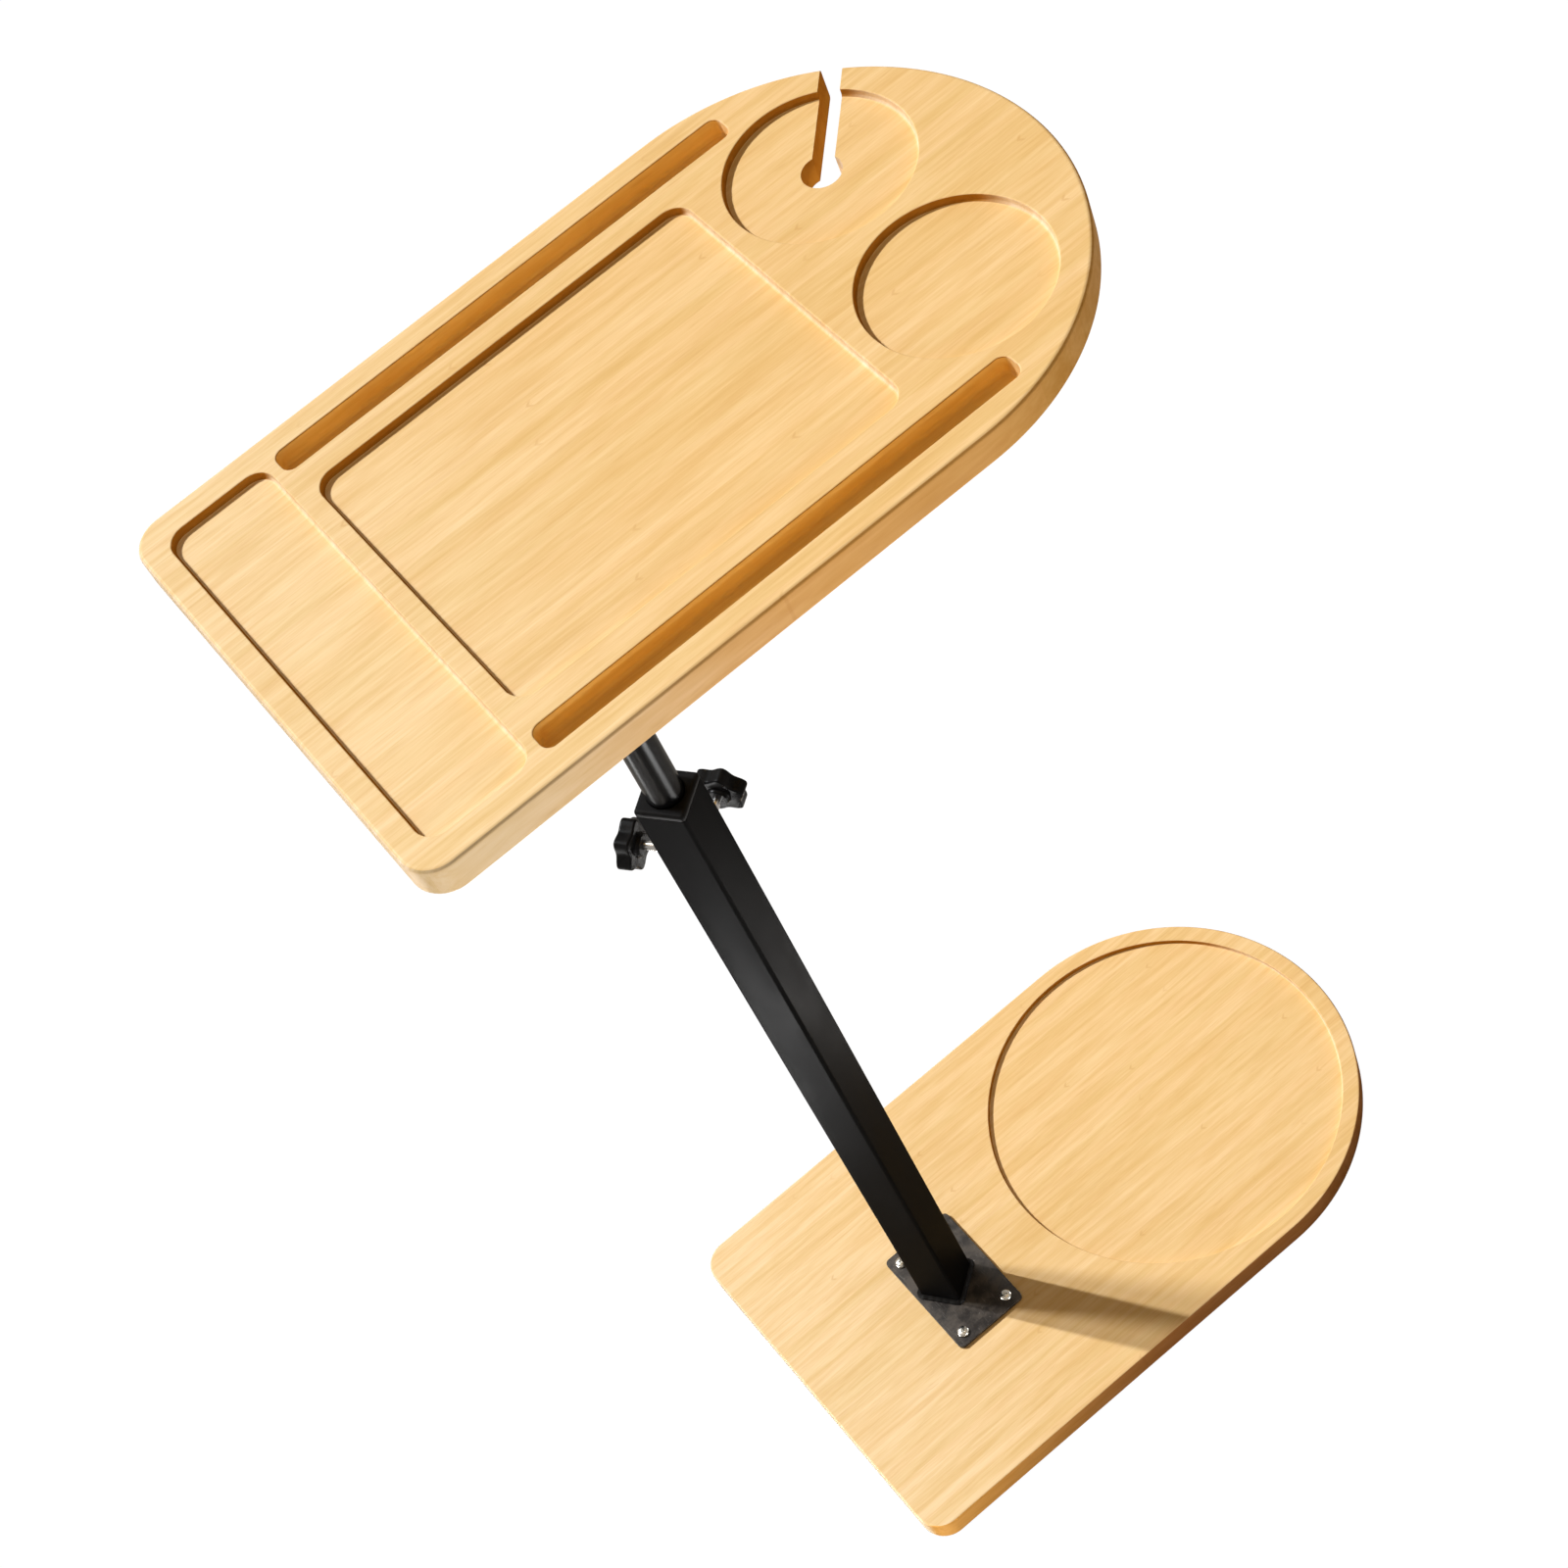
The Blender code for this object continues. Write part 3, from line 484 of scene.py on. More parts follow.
def knot_marks(tree, x, across, strip, chance):
    """Small ticks where a strip crosses one of the cane's nodes: each strip has its own places."""
    along = maths(tree, "DIVIDE", x, KNOT_SPACING)
    along = maths(tree, "ADD", along, maths(tree, "MULTIPLY", chance, KNOT_STAGGER))
    number = maths(tree, "FLOOR", along)
    pair = add_node(tree, "ShaderNodeCombineXYZ", {0: number, 1: strip, 2: 0.0}).outputs[0]
    draw = add_node(tree, "ShaderNodeTexWhiteNoise", {"Vector": pair}, noise_dimensions="3D")
    local = maths(tree, "SUBTRACT", maths(tree, "FRACT", along), 0.5)
    in_strip = maths(tree, "FRACT", maths(tree, "DIVIDE", across, STRIP_WIDTH))
    in_strip = maths(tree, "SUBTRACT", in_strip, 0.5)
    bow = maths(tree, "MULTIPLY", maths(tree, "ABSOLUTE", in_strip), KNOT_BOW)
    distance = maths(tree, "SUBTRACT", maths(tree, "MULTIPLY", local, KNOT_SPACING), bow)
    distance = maths(tree, "ABSOLUTE", distance)
    tick = span(tree, distance, 0.0004, 0.0016, 1.0, 0.0)
    middle = span(tree, maths(tree, "ABSOLUTE", in_strip), 0.16, 0.36, 1.0, 0.0)
    present = span(tree, draw.outputs["Value"], 0.40, 0.9, 0.0, KNOT_SHARE)
    return maths(tree, "MULTIPLY", maths(tree, "MULTIPLY", tick, middle), present)


def end_grain(tree, place):
    """Dots of the cut fibres on faces that look along x."""
    facing = add_node(tree, "ShaderNodeSeparateXYZ", {0: own_normal(tree)}).outputs[0]
    facing = span(tree, maths(tree, "ABSOLUTE", facing), 0.55, 0.95)
    dots = add_node(tree, "ShaderNodeTexVoronoi", {"Vector": place, "Scale": FIBRE_DOTS})
    spots = span(tree, dots.outputs["Distance"], 0.12, 0.42, 1.0, 0.0)
    return maths(tree, "MULTIPLY", maths(tree, "MULTIPLY", facing, spots), END_GRAIN_SHARE)


# Steel, paint, plastic and rubber

COAT_DUST = 2.4
PLASTIC_DUST = 2.6
STEEL_TARNISH = 0.72

PLATE_DARK = (0.022, 0.018, 0.015, 1)
PLATE_BLOTCH = (0.070, 0.058, 0.046, 1)
PLATE_SCRATCH = (0.16, 0.148, 0.135, 1)
PLATE_SPECK = (0.22, 0.205, 0.185, 1)
RUBBER_DARK = (0.022, 0.022, 0.023, 1)
RUBBER_PALE = (0.05, 0.05, 0.052, 1)


def black_coat(name, colour, roughness, grain, specular):
    """Black paint or powder coat with a fine orange-peel surface and faint dust."""
    material, tree, shader, place = new_material(name, roughness, specular=specular)
    peel = stretched_noise(tree, place, (grain, grain, grain), 2.0, 0.5)
    cloud = stretched_noise(tree, place, (38.0, 38.0, 11.0), 3.0, 0.6)
    dust = span(tree, cloud, 0.42, 0.80, 0.0, 0.35)
    shade = mix_colour(tree, dust, (*colour, 1), scaled(colour, COAT_DUST))
    paint(tree, shader, shade, span(tree, cloud, 0.25, 0.75, roughness - 0.04, roughness + 0.07))
    bump(tree, shader, peel, 0.12, 0.0001)
    return material


def grained_plastic(name, colour, roughness, grain, strength, specular=0.5):
    """Black plastic with a moulded grain and faint dust."""
    material, tree, shader, place = new_material(name, roughness, specular=specular)
    cells = add_node(tree, "ShaderNodeTexVoronoi", {"Vector": place, "Scale": grain})
    cloud = stretched_noise(tree, place, (60.0, 60.0, 60.0), 3.0, 0.6)
    dust = span(tree, cloud, 0.40, 0.75, 0.0, 0.5)
    shade = mix_colour(tree, dust, (*colour, 1), scaled(colour, PLASTIC_DUST))
    paint(tree, shader, shade, span(tree, cloud, 0.25, 0.75, roughness - 0.06, roughness + 0.08))
    bump(tree, shader, cells.outputs["Distance"], strength, 0.0001)
    return material


def bright_metal(name, colour, roughness, scratch_scale):
    """Plated or brushed steel with fine marks and slightly uneven gloss."""
    material, tree, shader, place = new_material(name, roughness, 1.0)
    marks = stretched_noise(tree, place, scratch_scale, 3.0, 0.65)
    cloud = stretched_noise(tree, place, (300.0, 300.0, 300.0), 3.0, 0.6)
    tarnish = span(tree, cloud, 0.45, 0.75, 0.0, 0.6)
    shade = mix_colour(tree, tarnish, (*colour, 1), scaled(colour, STEEL_TARNISH))
    paint(tree, shader, shade, span(tree, marks, 0.3, 0.7, roughness - 0.07, roughness + 0.10))
    bump(tree, shader, marks, 0.08, 0.00005)
    return material


def scuffed_plate(name):
    """Dark plate with paler brown and grey blotches, fine scratches and specks."""
    material, tree, shader, place = new_material(name, 0.45, 0.35, 0.3)
    blotch = stretched_noise(tree, place, (75.0, 95.0, 75.0), 5.0, 0.65)
    scratch = stretched_noise(tree, place, (900.0, 70.0, 400.0), 2.0, 0.6, (2, 5, 0))
    speck = stretched_noise(tree, place, (420.0, 420.0, 420.0), 2.0, 0.5)
    colour = mix_colour(tree, span(tree, blotch, 0.36, 0.66), PLATE_DARK, PLATE_BLOTCH)
    colour = mix_colour(tree, span(tree, scratch, 0.60, 0.80, 0.0, 0.5), colour, PLATE_SCRATCH)
    colour = mix_colour(tree, span(tree, speck, 0.66, 0.78, 0.0, 0.6), colour, PLATE_SPECK)
    paint(tree, shader, colour, span(tree, blotch, 0.3, 0.7, 0.36, 0.56))
    bump(tree, shader, maths(tree, "ADD", blotch, scratch), 0.15, 0.0001)
    return material


def rubber(name):
    material, tree, shader, place = new_material(name, 0.85, specular=0.3)
    grain = stretched_noise(tree, place, (900.0, 900.0, 900.0), 3.0, 0.7)
    shade = mix_colour(tree, span(tree, grain, 0.3, 0.7), RUBBER_DARK, RUBBER_PALE)
    tree.links.new(shade, shader.inputs["Base Color"])
    bump(tree, shader, grain, 0.4, 0.0002)
    return material


# Boards

CORNER_RADIUS = 0.020
TOP_ROUND = 0.0025
UNDER_ROUND = 0.0015
COVE_RADIUS = 0.0020
RIM_ROUND = 0.0008
TRAY_DEPTH = 0.005
TRAY_CORNER = 0.012
END_RIM = 0.0155
SMALL_TRAY_SIDE_RIM = 0.017
SMALL_TRAY_LENGTH = 0.0655
TRAY_TRAY_GAP = 0.012
GROOVE_SIDE_RIM = 0.016
GROOVE_WIDTH = 0.017
GROOVE_DEPTH = 0.012
GROOVE_CORNER = 0.006
GROOVE_FROM_SMALL_TRAY = 0.0065
GROOVE_FROM_TIP = 0.1115
GROOVE_TRAY_GAP = 0.0165
CUP_RADIUS = 0.0535
CUP_Y = 0.0585
CUP_FROM_TIP = 0.0955
CUP_TRAY_GAP = 0.0115
STEM_HOLE_RADIUS = 0.0115
STEM_SLOT_HALF = 0.00625
STEM_OVERSHOOT = 0.03
BASE_ROUND = 0.0015
BASE_RECESS_DEPTH = 0.004
BASE_RECESS_RIM = 0.013
BASE_COVE = 0.0010

# Places on the tabletop that follow from those sizes, and the stem slot's turn in radians
HALF_WIDTH = TOP_HIGH.y
SMALL_TRAY_START = TOP_LOW.x + END_RIM
SMALL_TRAY_END = SMALL_TRAY_START + SMALL_TRAY_LENGTH
GROOVE_START = SMALL_TRAY_END + GROOVE_FROM_SMALL_TRAY
GROOVE_END = TOP_HIGH.x - GROOVE_FROM_TIP
GROOVE_Y = HALF_WIDTH - GROOVE_SIDE_RIM - GROOVE_WIDTH
CUP_X = TOP_HIGH.x - CUP_FROM_TIP
CUP_FROM_ROUND_CENTRE = CUP_X - (TOP_HIGH.x - HALF_WIDTH)
STEM_TURN = math.atan2(CUP_Y, CUP_FROM_ROUND_CENTRE)

# The boards' material slots, and what tells their faces apart
FLAT, MILLED, EDGE, GROOVE = range(4)
EDGE_BAND = 0.006
FLAT_BAND = 0.0004
LEVEL_NORMAL = 0.8
GROOVE_SLACK = 0.0005
SLOT_SLACK = 0.0002
MATT = 0.0
EDGE_SPECULAR = 0.03
BOARD_SHARP = 28.0


def keyhole():
    """The stem slot's outline: a round hole in a cup recess, open to the board's edge."""
    neck = math.degrees(math.asin(STEM_SLOT_HALF / STEM_HOLE_RADIUS))
    reach = HALF_WIDTH - math.hypot(CUP_FROM_ROUND_CENTRE, CUP_Y) + STEM_OVERSHOOT
    points = arc(0, 0, STEM_HOLE_RADIUS, neck, 360 - neck, steps=48)
    points += [(reach, -STEM_SLOT_HALF), (reach, STEM_SLOT_HALF)]
    placed = []
    for point in points:
        x, y = turned(*point, STEM_TURN)
        placed.append((CUP_X + x, CUP_Y + y))
    return lambda inset: placed


def tabletop_cutters():
    small_half = HALF_WIDTH - SMALL_TRAY_SIDE_RIM
    large_half = GROOVE_Y - GROOVE_TRAY_GAP
    large_start = SMALL_TRAY_END + TRAY_TRAY_GAP
    large_end = CUP_X - CUP_RADIUS - CUP_TRAY_GAP
    tray = recess_section(TOP_HIGH.z, TRAY_DEPTH, COVE_RADIUS, RIM_ROUND)
    deep = recess_section(TOP_HIGH.z, GROOVE_DEPTH, COVE_RADIUS, RIM_ROUND)
    small = rounded_rectangle(SMALL_TRAY_START, -small_half, SMALL_TRAY_END, small_half, TRAY_CORNER)
    large = rounded_rectangle(large_start, -large_half, large_end, large_half, TRAY_CORNER)
    cutters = [solid("cut_small", small, tray), solid("cut_large", large, tray)]
    for y in (-GROOVE_Y - GROOVE_WIDTH, GROOVE_Y):
        groove = rounded_rectangle(GROOVE_START, y, GROOVE_END, y + GROOVE_WIDTH, GROOVE_CORNER)
        cutters.append(solid("cut_groove", groove, deep))
    for y in (-CUP_Y, CUP_Y):
        cutters.append(solid("cut_cup", circle(CUP_X, y, CUP_RADIUS, sides=128), tray))
    through = [(0, TOP_LOW.z - CUT_CLEAR), (0, TOP_HIGH.z + CUT_CLEAR)]
    cutters.append(solid("cut_stem", keyhole(), through))
    return cutters


def in_groove(place):
    """True on the walls and the floor of a long groove."""
    beside = GROOVE_Y - GROOVE_SLACK < abs(place.y) < GROOVE_Y + GROOVE_WIDTH + GROOVE_SLACK
    along = GROOVE_START - GROOVE_SLACK < place.x < GROOVE_END + GROOVE_SLACK
    below = TOP_HIGH.z - GROOVE_DEPTH - GROOVE_SLACK < place.z <= TOP_HIGH.z - RIM_ROUND
    return beside and along and below


def in_stem_slot(place):
    """True within the stem slot's outline, at any height."""
    x = place.x - CUP_X
    y = place.y - CUP_Y
    along, aside = turned(x, y, -STEM_TURN)
    in_hole = math.hypot(x, y) < STEM_HOLE_RADIUS + SLOT_SLACK
    return in_hole or (along > 0 and abs(aside) < STEM_SLOT_HALF + SLOT_SLACK)


def board_slot(face, high, middle):
    """Slot of a board's face: flat wood, a wall cut into the board's middle, or its outer edge."""
    if abs(face.normal.z) >= LEVEL_NORMAL or face.center.z > high - FLAT_BAND:
        return FLAT
    return MILLED if inside(middle, face.center) else EDGE


def make_tabletop():
    shape = d_shape(TOP_LOW, TOP_HIGH, CORNER_RADIUS)
    top = solid("bamboo_tabletop", shape, rounded_section(TOP_LOW.z, TOP_HIGH.z, UNDER_ROUND, TOP_ROUND))
    carve(top, tabletop_cutters())
    middle = shape(EDGE_BAND)
    for face in top.data.polygons:
        slot = board_slot(face, TOP_HIGH.z, middle)
        if in_groove(face.center):
            slot = GROOVE
        elif slot == EDGE and in_stem_slot(face.center):
            slot = MILLED
        face.material_index = slot
    # The top's material paints a sheen at the square end; the wall, edge and groove materials paint shade,
    # and light on faces towards the key light.
    finish_piece(top, "column", "tabletop", [
        bamboo("bamboo_top_painted_sheen", TOP_PAINTED_SHEEN_TINTS[0], right_tint=TOP_PAINTED_SHEEN_TINTS[1]),
        bamboo("bamboo_wall_painted_shade", MILLED_PAINTED_SHADE_TINT, MILLED_LIT_TINT, MATT),
        bamboo("bamboo_edge_painted_shading", TOP_EDGE_PAINTED_SHADING_TINTS[0], EDGE_LIT_TINT, EDGE_SPECULAR, TOP_EDGE_PAINTED_SHADING_TINTS[1]),
        bamboo("bamboo_groove_painted_shade", GROOVE_PAINTED_SHADE_TINT, GROOVE_LIT_TINT, MATT),
    ], BOARD_SHARP)


def make_base_board():
    shape = d_shape(BASE_LOW, BASE_HIGH, CORNER_RADIUS)
    board = solid("bamboo_base", shape, rounded_section(BASE_LOW.z, BASE_HIGH.z, BASE_ROUND, BASE_ROUND))
    radius = BASE_HIGH.y - BASE_RECESS_RIM
    recess = circle(BASE_HIGH.x - BASE_HIGH.y, 0, radius, sides=160)
    section = recess_section(BASE_HIGH.z, BASE_RECESS_DEPTH, BASE_COVE, RIM_ROUND)
    carve(board, [solid("cut_base", recess, section)])
    middle = shape(EDGE_BAND)
    for face in board.data.polygons:
        face.material_index = board_slot(face, BASE_HIGH.z, middle)
    # The foot's material paints a sheen at the square end; the wall and edge materials paint shade, and
    # light on faces towards the key light.
    finish_piece(board, "stand", "base_board", [
        bamboo("bamboo_foot", BASE_PAINTED_SHEEN_TINTS[0], right_tint=BASE_PAINTED_SHEEN_TINTS[1]),
        bamboo("bamboo_foot_wall_painted_shade", MILLED_PAINTED_SHADE_TINT, MILLED_LIT_TINT, MATT),
        bamboo("bamboo_foot_edge_painted_shade", BASE_EDGE_PAINTED_SHADE_TINTS[0], EDGE_LIT_TINT, EDGE_SPECULAR, BASE_EDGE_PAINTED_SHADE_TINTS[1]),
    ], BOARD_SHARP)


# Pole

TUBE_SIDE = 0.032
TUBE_CORNER = 0.0025
TUBE_WALL = 0.002
TUBE_END_ROUND = 0.0003
ROUND_TUBE_WALL = 0.0015
CAP_RIM_HEIGHT = 0.0045
CAP_ROUND = 0.0024
CAP_UNDER_CHAMFER = 0.0002
CAP_BORE = 0.0116
BORE_CHAMFER = 0.0006
BORE_CHAMFER_LIP = 0.0002
PLUG_SIDE = 0.0274
PLUG_CORNER = 0.0015

# A weld's fillet, as shares of its size away from the tube and along it
WELD_SIZE = 0.003
WELD_PROFILE = ((0.0, 0.0), (1.0, 0.0), (0.86, 0.36), (0.55, 0.66), (0.22, 0.92), (0.0, 1.0))
WELD_RIPPLES = 26
WELD_RIPPLE_DEPTH = 0.10
FOOT_WELD_SIDE = 0.0326
FOOT_WELD_CORNER = 0.0028
HEAD_WELD_RADIUS = 0.0118


def make_outer_tube():
    low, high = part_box("outer_tube")
    part = TUBE_END_ROUND / 3
    section = [(0, low.z), (0, high.z - TUBE_END_ROUND), (part, high.z - part), (TUBE_END_ROUND, high.z),
               (TUBE_WALL, high.z), (TUBE_WALL, low.z)]
    coat = black_coat("satin_black_coat", colour=(0.0045, 0.0045, 0.0047), roughness=0.40, grain=1400.0,
                      specular=0.0035)
    square = moved_to_pole(dense_square(TUBE_SIDE, TUBE_CORNER))
    finish_piece(sleeve("square_pole", square, section), "stand", "outer_tube", [coat])


def make_inner_tube():
    low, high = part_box("inner_tube")
    radius = (high.y - low.y) / 2
    section = [(0, low.z), (0, high.z), (ROUND_TUBE_WALL, high.z), (ROUND_TUBE_WALL, low.z)]
    coat = black_coat("gloss_black_coat", colour=(0.0014, 0.0014, 0.0016), roughness=0.20, grain=900.0,
                      specular=0.10)
    tube = sleeve("round_pole", circle(POLE_X, 0, radius, sides=96), section)
    finish_piece(tube, "column", "inner_tube", [coat])


def make_top_cap():
    """Square outside, round bore, a rounded rim and a plug that goes down into the tube."""
    low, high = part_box("top_cap")
    rim_low = high.z - CAP_RIM_HEIGHT
    outer = dense_square(TUBE_SIDE, TUBE_CORNER)
    plug = dense_square(PLUG_SIDE, PLUG_CORNER)

    def bore_ring(grow):
        points = []
        for x, y in outer(0):
            distance = math.hypot(x, y)
            points.append((x / distance * (CAP_BORE + grow), y / distance * (CAP_BORE + grow)))
        return points

    levels = [(plug(0), low.z), (plug(0), rim_low), (outer(CAP_UNDER_CHAMFER), rim_low),
              (outer(0), rim_low + CAP_UNDER_CHAMFER)]
    for falling, rising in quarter_round(steps=8):
        levels.append((outer(CAP_ROUND * rising), high.z - CAP_ROUND * falling))
    levels += [(bore_ring(BORE_CHAMFER), high.z), (bore_ring(BORE_CHAMFER_LIP), high.z - BORE_CHAMFER_LIP),
               (bore_ring(0), high.z - BORE_CHAMFER), (bore_ring(0), low.z)]
    mesh = bmesh.new()
    rings = [ring(mesh, [(x + POLE_X, y) for x, y in points], z) for points, z in levels]
    join_as_sleeve(mesh, rings)
    plastic = grained_plastic("cap_plastic", colour=(0.006, 0.006, 0.0063), roughness=0.46, grain=2600.0,
                              strength=0.4, specular=0.05)
    finish_piece(make_object("pole_cap", mesh), "stand", "top_cap", [plastic])


def weld_bead(name, outline, z, way, body, node):
    """A fillet of weld with ripples, up or down from z, round an outline that lies against the tube."""
    near = outline(0)
    far = outline(-WELD_SIZE)
    mesh = bmesh.new()
    rings = []
    for share, rise in WELD_PROFILE:
        verts = []
        for k, (start, end) in enumerate(zip(near, far)):
            wave = math.sin(2 * math.pi * WELD_RIPPLES * k / len(near))
            ripple = min(1 + WELD_RIPPLE_DEPTH * wave, 1.0)
            x = start[0] + (end[0] - start[0]) * share * ripple
            y = start[1] + (end[1] - start[1]) * share * ripple
            verts.append(mesh.verts.new((x + POLE_X, y, z + way * WELD_SIZE * rise * ripple)))
        rings.append(verts)
    join_as_sleeve(mesh, rings)
    bmesh.ops.recalc_face_normals(mesh, faces=mesh.faces)
    coat = black_coat("weld_paint_" + node, colour=(0.006, 0.0055, 0.005), roughness=0.45, grain=700.0,
                      specular=0.06)
    finish_piece(make_object(name, mesh), body, node, [coat], sharp_degrees=60.0)


def make_welds():
    foot_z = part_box("base_weld")[0].z
    head_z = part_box("upper_weld")[1].z
    square = dense_square(FOOT_WELD_SIDE, FOOT_WELD_CORNER, corner_steps=10, flat_steps=24)
    weld_bead("foot_weld", square, foot_z, 1, "stand", "base_weld")
    round_foot = circle(0, 0, HEAD_WELD_RADIUS, sides=144)
    weld_bead("head_weld", round_foot, head_z, -1, "column", "upper_weld")


# Plates and screws

PLATE_CORNER = 0.004
PLATE_ROUND = 0.0004
HOLE_RADIUS = 0.0025
HOLE_CLEAR = 0.002

SCREW_LENGTH = 0.012
SCREW_RADIUS = 0.0020
SCREW_STEPS = 60
SCREW_SIDES = 40
SCREW_PITCH = 0.0014
SCREW_THREAD = 0.0005
SCREW_THREAD_END = -0.0005
SCREW_TAPER = 0.004
SCREW_POINT = 0.12
LEAST_RADIUS = 0.0001
HEAD_RADIUS = 0.0045
HEAD_SEAT_RADIUS = 0.00435
HEAD_CHAMFER = 0.0002
HEAD_SKIRT = 0.0008
HEAD_DOME = 0.0020
HEAD_CROWN = 0.0009
DOME_STEPS = 7.5
CROSS_REACH = 0.0023
CROSS_HALF = 0.00042
CROSS_SECTION = ((0.55, 0.0010), (0.0, 0.0030), (-0.2, 0.0040))
SCREW_TURNS = (12, 71, 38, 55)


def thread_dip(z, pitch, share):
    """How deep a thread's groove is, from 0 to 1, at a height and a share of the turn."""
    wave = (z / pitch - share) % 1.0
    return abs(2 * wave - 1)


def make_plate(name, node, body):
    """A plate with a hole round each of its screws."""
    low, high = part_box(node)
    outline = rounded_rectangle(low.x, low.y, high.x, high.y, PLATE_CORNER, steps=10)
    plate = solid(name, outline, rounded_section(low.z, high.z, PLATE_ROUND, PLATE_ROUND, steps=4))
    cutters = []
    for k in range(1, 5):
        x, y = centre(node.replace("plate", "screw_%d" % k))[:2]
        through = [(0, low.z - HOLE_CLEAR), (0, high.z + HOLE_CLEAR)]
        cutters.append(solid("cut_hole", circle(x, y, HOLE_RADIUS, sides=32), through))
    carve(plate, cutters)
    finish_piece(plate, body, node, [scuffed_plate(node + "_steel")], sharp_degrees=30.0)


def screw_ring(mesh, radius, z):
    depth = SCREW_THREAD if z < SCREW_THREAD_END else 0.0
    return polar_ring(mesh, SCREW_SIDES, z, lambda share: max(
        radius - depth * thread_dip(z, SCREW_PITCH, share), LEAST_RADIUS))


def screw_mesh():
    """A pan-head screw along z with its seat at 0 and a coarse thread."""
    levels = []
    for k in range(SCREW_STEPS + 1):
        z = -SCREW_LENGTH + SCREW_LENGTH * k / SCREW_STEPS
        taper = min(1.0, SCREW_POINT + (z + SCREW_LENGTH) / SCREW_TAPER)
        levels.append((SCREW_RADIUS * taper, z))
    levels += [(HEAD_SEAT_RADIUS, 0.0), (HEAD_RADIUS, HEAD_CHAMFER), (HEAD_RADIUS, HEAD_SKIRT)]
    for k in range(1, 8):
        angle = math.pi / 2 * k / DOME_STEPS
        levels.append((HEAD_CROWN + (HEAD_RADIUS - HEAD_CROWN) * math.cos(angle),
                       HEAD_SKIRT + HEAD_DOME * math.sin(angle)))
    mesh = bmesh.new()
    join_as_solid(mesh, [screw_ring(mesh, radius, z) for radius, z in levels])
    return mesh


def cross_outline(reach, half):
    """A cross with four arms. The inset is a share of its size here."""
    inner = half * 1.5
    points = []
    for quarter_turn in range(4):
        angle = math.pi / 2 * quarter_turn
        for x, y in ((reach, -half), (reach, half), (inner, inner)):
            points.append(turned(x, y, angle))
    return lambda inset: [(x * (1 - inset), y * (1 - inset)) for x, y in points]


def make_screws():
    pattern = make_object("screw_pattern", screw_mesh())
    carve(pattern, [solid("cut_cross", cross_outline(CROSS_REACH, CROSS_HALF), CROSS_SECTION)])
    steel = bright_metal("screw_steel", (0.66, 0.64, 0.58), 0.24, (1800.0, 260.0, 1800.0))
    head = HEAD_SKIRT + HEAD_DOME
    for group, body, flip in (("base", "stand", False), ("upper", "column", True)):
        for k, degrees in enumerate(SCREW_TURNS):
            node = "%s_screw_%d" % (group, k + 1)
            low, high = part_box(node)
            x, y = centre(node)[:2]
            seat = low.z + head if flip else high.z - head
            item = bpy.data.objects.new("pan_" + node, pattern.data.copy())
            bpy.context.scene.collection.objects.link(item)
            matrix = Matrix.Translation((x, y, seat)) @ Matrix.Rotation(math.radians(degrees), 4, "Z")
            if flip:
                matrix = matrix @ Matrix.Rotation(math.pi, 4, "X")
            item.data.transform(matrix)
            finish_piece(item, body, node, [steel], sharp_degrees=40.0)
    bpy.data.objects.remove(pattern, do_unlink=True)


# Clamps: heights are distances from the pole's axis, along the stud.

KNOB_TURN = {"left": 27.5, "right": 16.5}
LOBES = 6
KNOB_SIDES = LOBES * 28
KNOB_RADIUS = 0.0175
KNOB_HEIGHT = 0.010
KNOB_ROUND = 0.0014
VALLEY = 0.0034
VALLEY_POWER = 0.8
HUB_AT = 0.0363
HUB_HEIGHT = 0.0025
KNOB_LOW = HUB_AT + HUB_HEIGHT
KNOB_HIGH = KNOB_LOW + KNOB_HEIGHT

# Radius, depth of the valleys between the lobes, and height, for the hub and for the face
HUB_PROFILE = (
    (0.0065, 0, HUB_AT), (0.0070, 0, HUB_AT + 0.0002), (0.00725, 0, HUB_AT + 0.0007),
    (0.00725, 0, KNOB_LOW - 0.0006), (0.0077, 0, KNOB_LOW - 0.0001), (0.0086, 0.0003, KNOB_LOW + 0.0002))
FACE_PROFILE = (
    (0.0140, 0.0018, KNOB_HIGH + 0.0001), (0.0118, 0.0005, KNOB_HIGH - 0.0002),
    (0.0096, 0, KNOB_HIGH - 0.0009), (0.0080, 0, KNOB_HIGH - 0.0010), (0.0074, 0, KNOB_HIGH - 0.0004),
    (0.0066, 0, KNOB_HIGH), (0.0040, 0, KNOB_HIGH + 0.0003), (0.0015, 0, KNOB_HIGH + 0.0004))

STUD_RADIUS = 0.003
STUD_SIDES = 32
STUD_TIP = 0.0118
STUD_TIP_CHAMFER = 0.0007
STUD_PITCH = 0.001
STUD_THREAD = 0.00052
STUD_THREAD_FADE = 0.001
STEPS_PER_PITCH = 8
SHANK_FROM = HUB_AT - 0.009
SHANK_CHAMFER = 0.0006
STUD_END = HUB_AT + 0.0075
STUD_END_STEP = 0.0004

NUT_LOW = 0.0163
NUT_HIGH = NUT_LOW + 0.006
NUT_HALF_FLATS = 0.006
NUT_CORNER = NUT_HALF_FLATS / math.cos(math.pi / 6)
NUT_BORE = 0.0031
NUT_SIDES = 72

# The largest radius and the height, up the outside and down the bore
NUT_PROFILE = (
    (NUT_CORNER - 0.0002, NUT_LOW), (NUT_CORNER, NUT_LOW + 0.0002), (NUT_CORNER, NUT_HIGH - 0.0006),
    (NUT_HALF_FLATS + 0.0001, NUT_HIGH), (NUT_BORE + 0.0003, NUT_HIGH), (NUT_BORE, NUT_HIGH - 0.0003),
    (NUT_BORE, NUT_LOW))


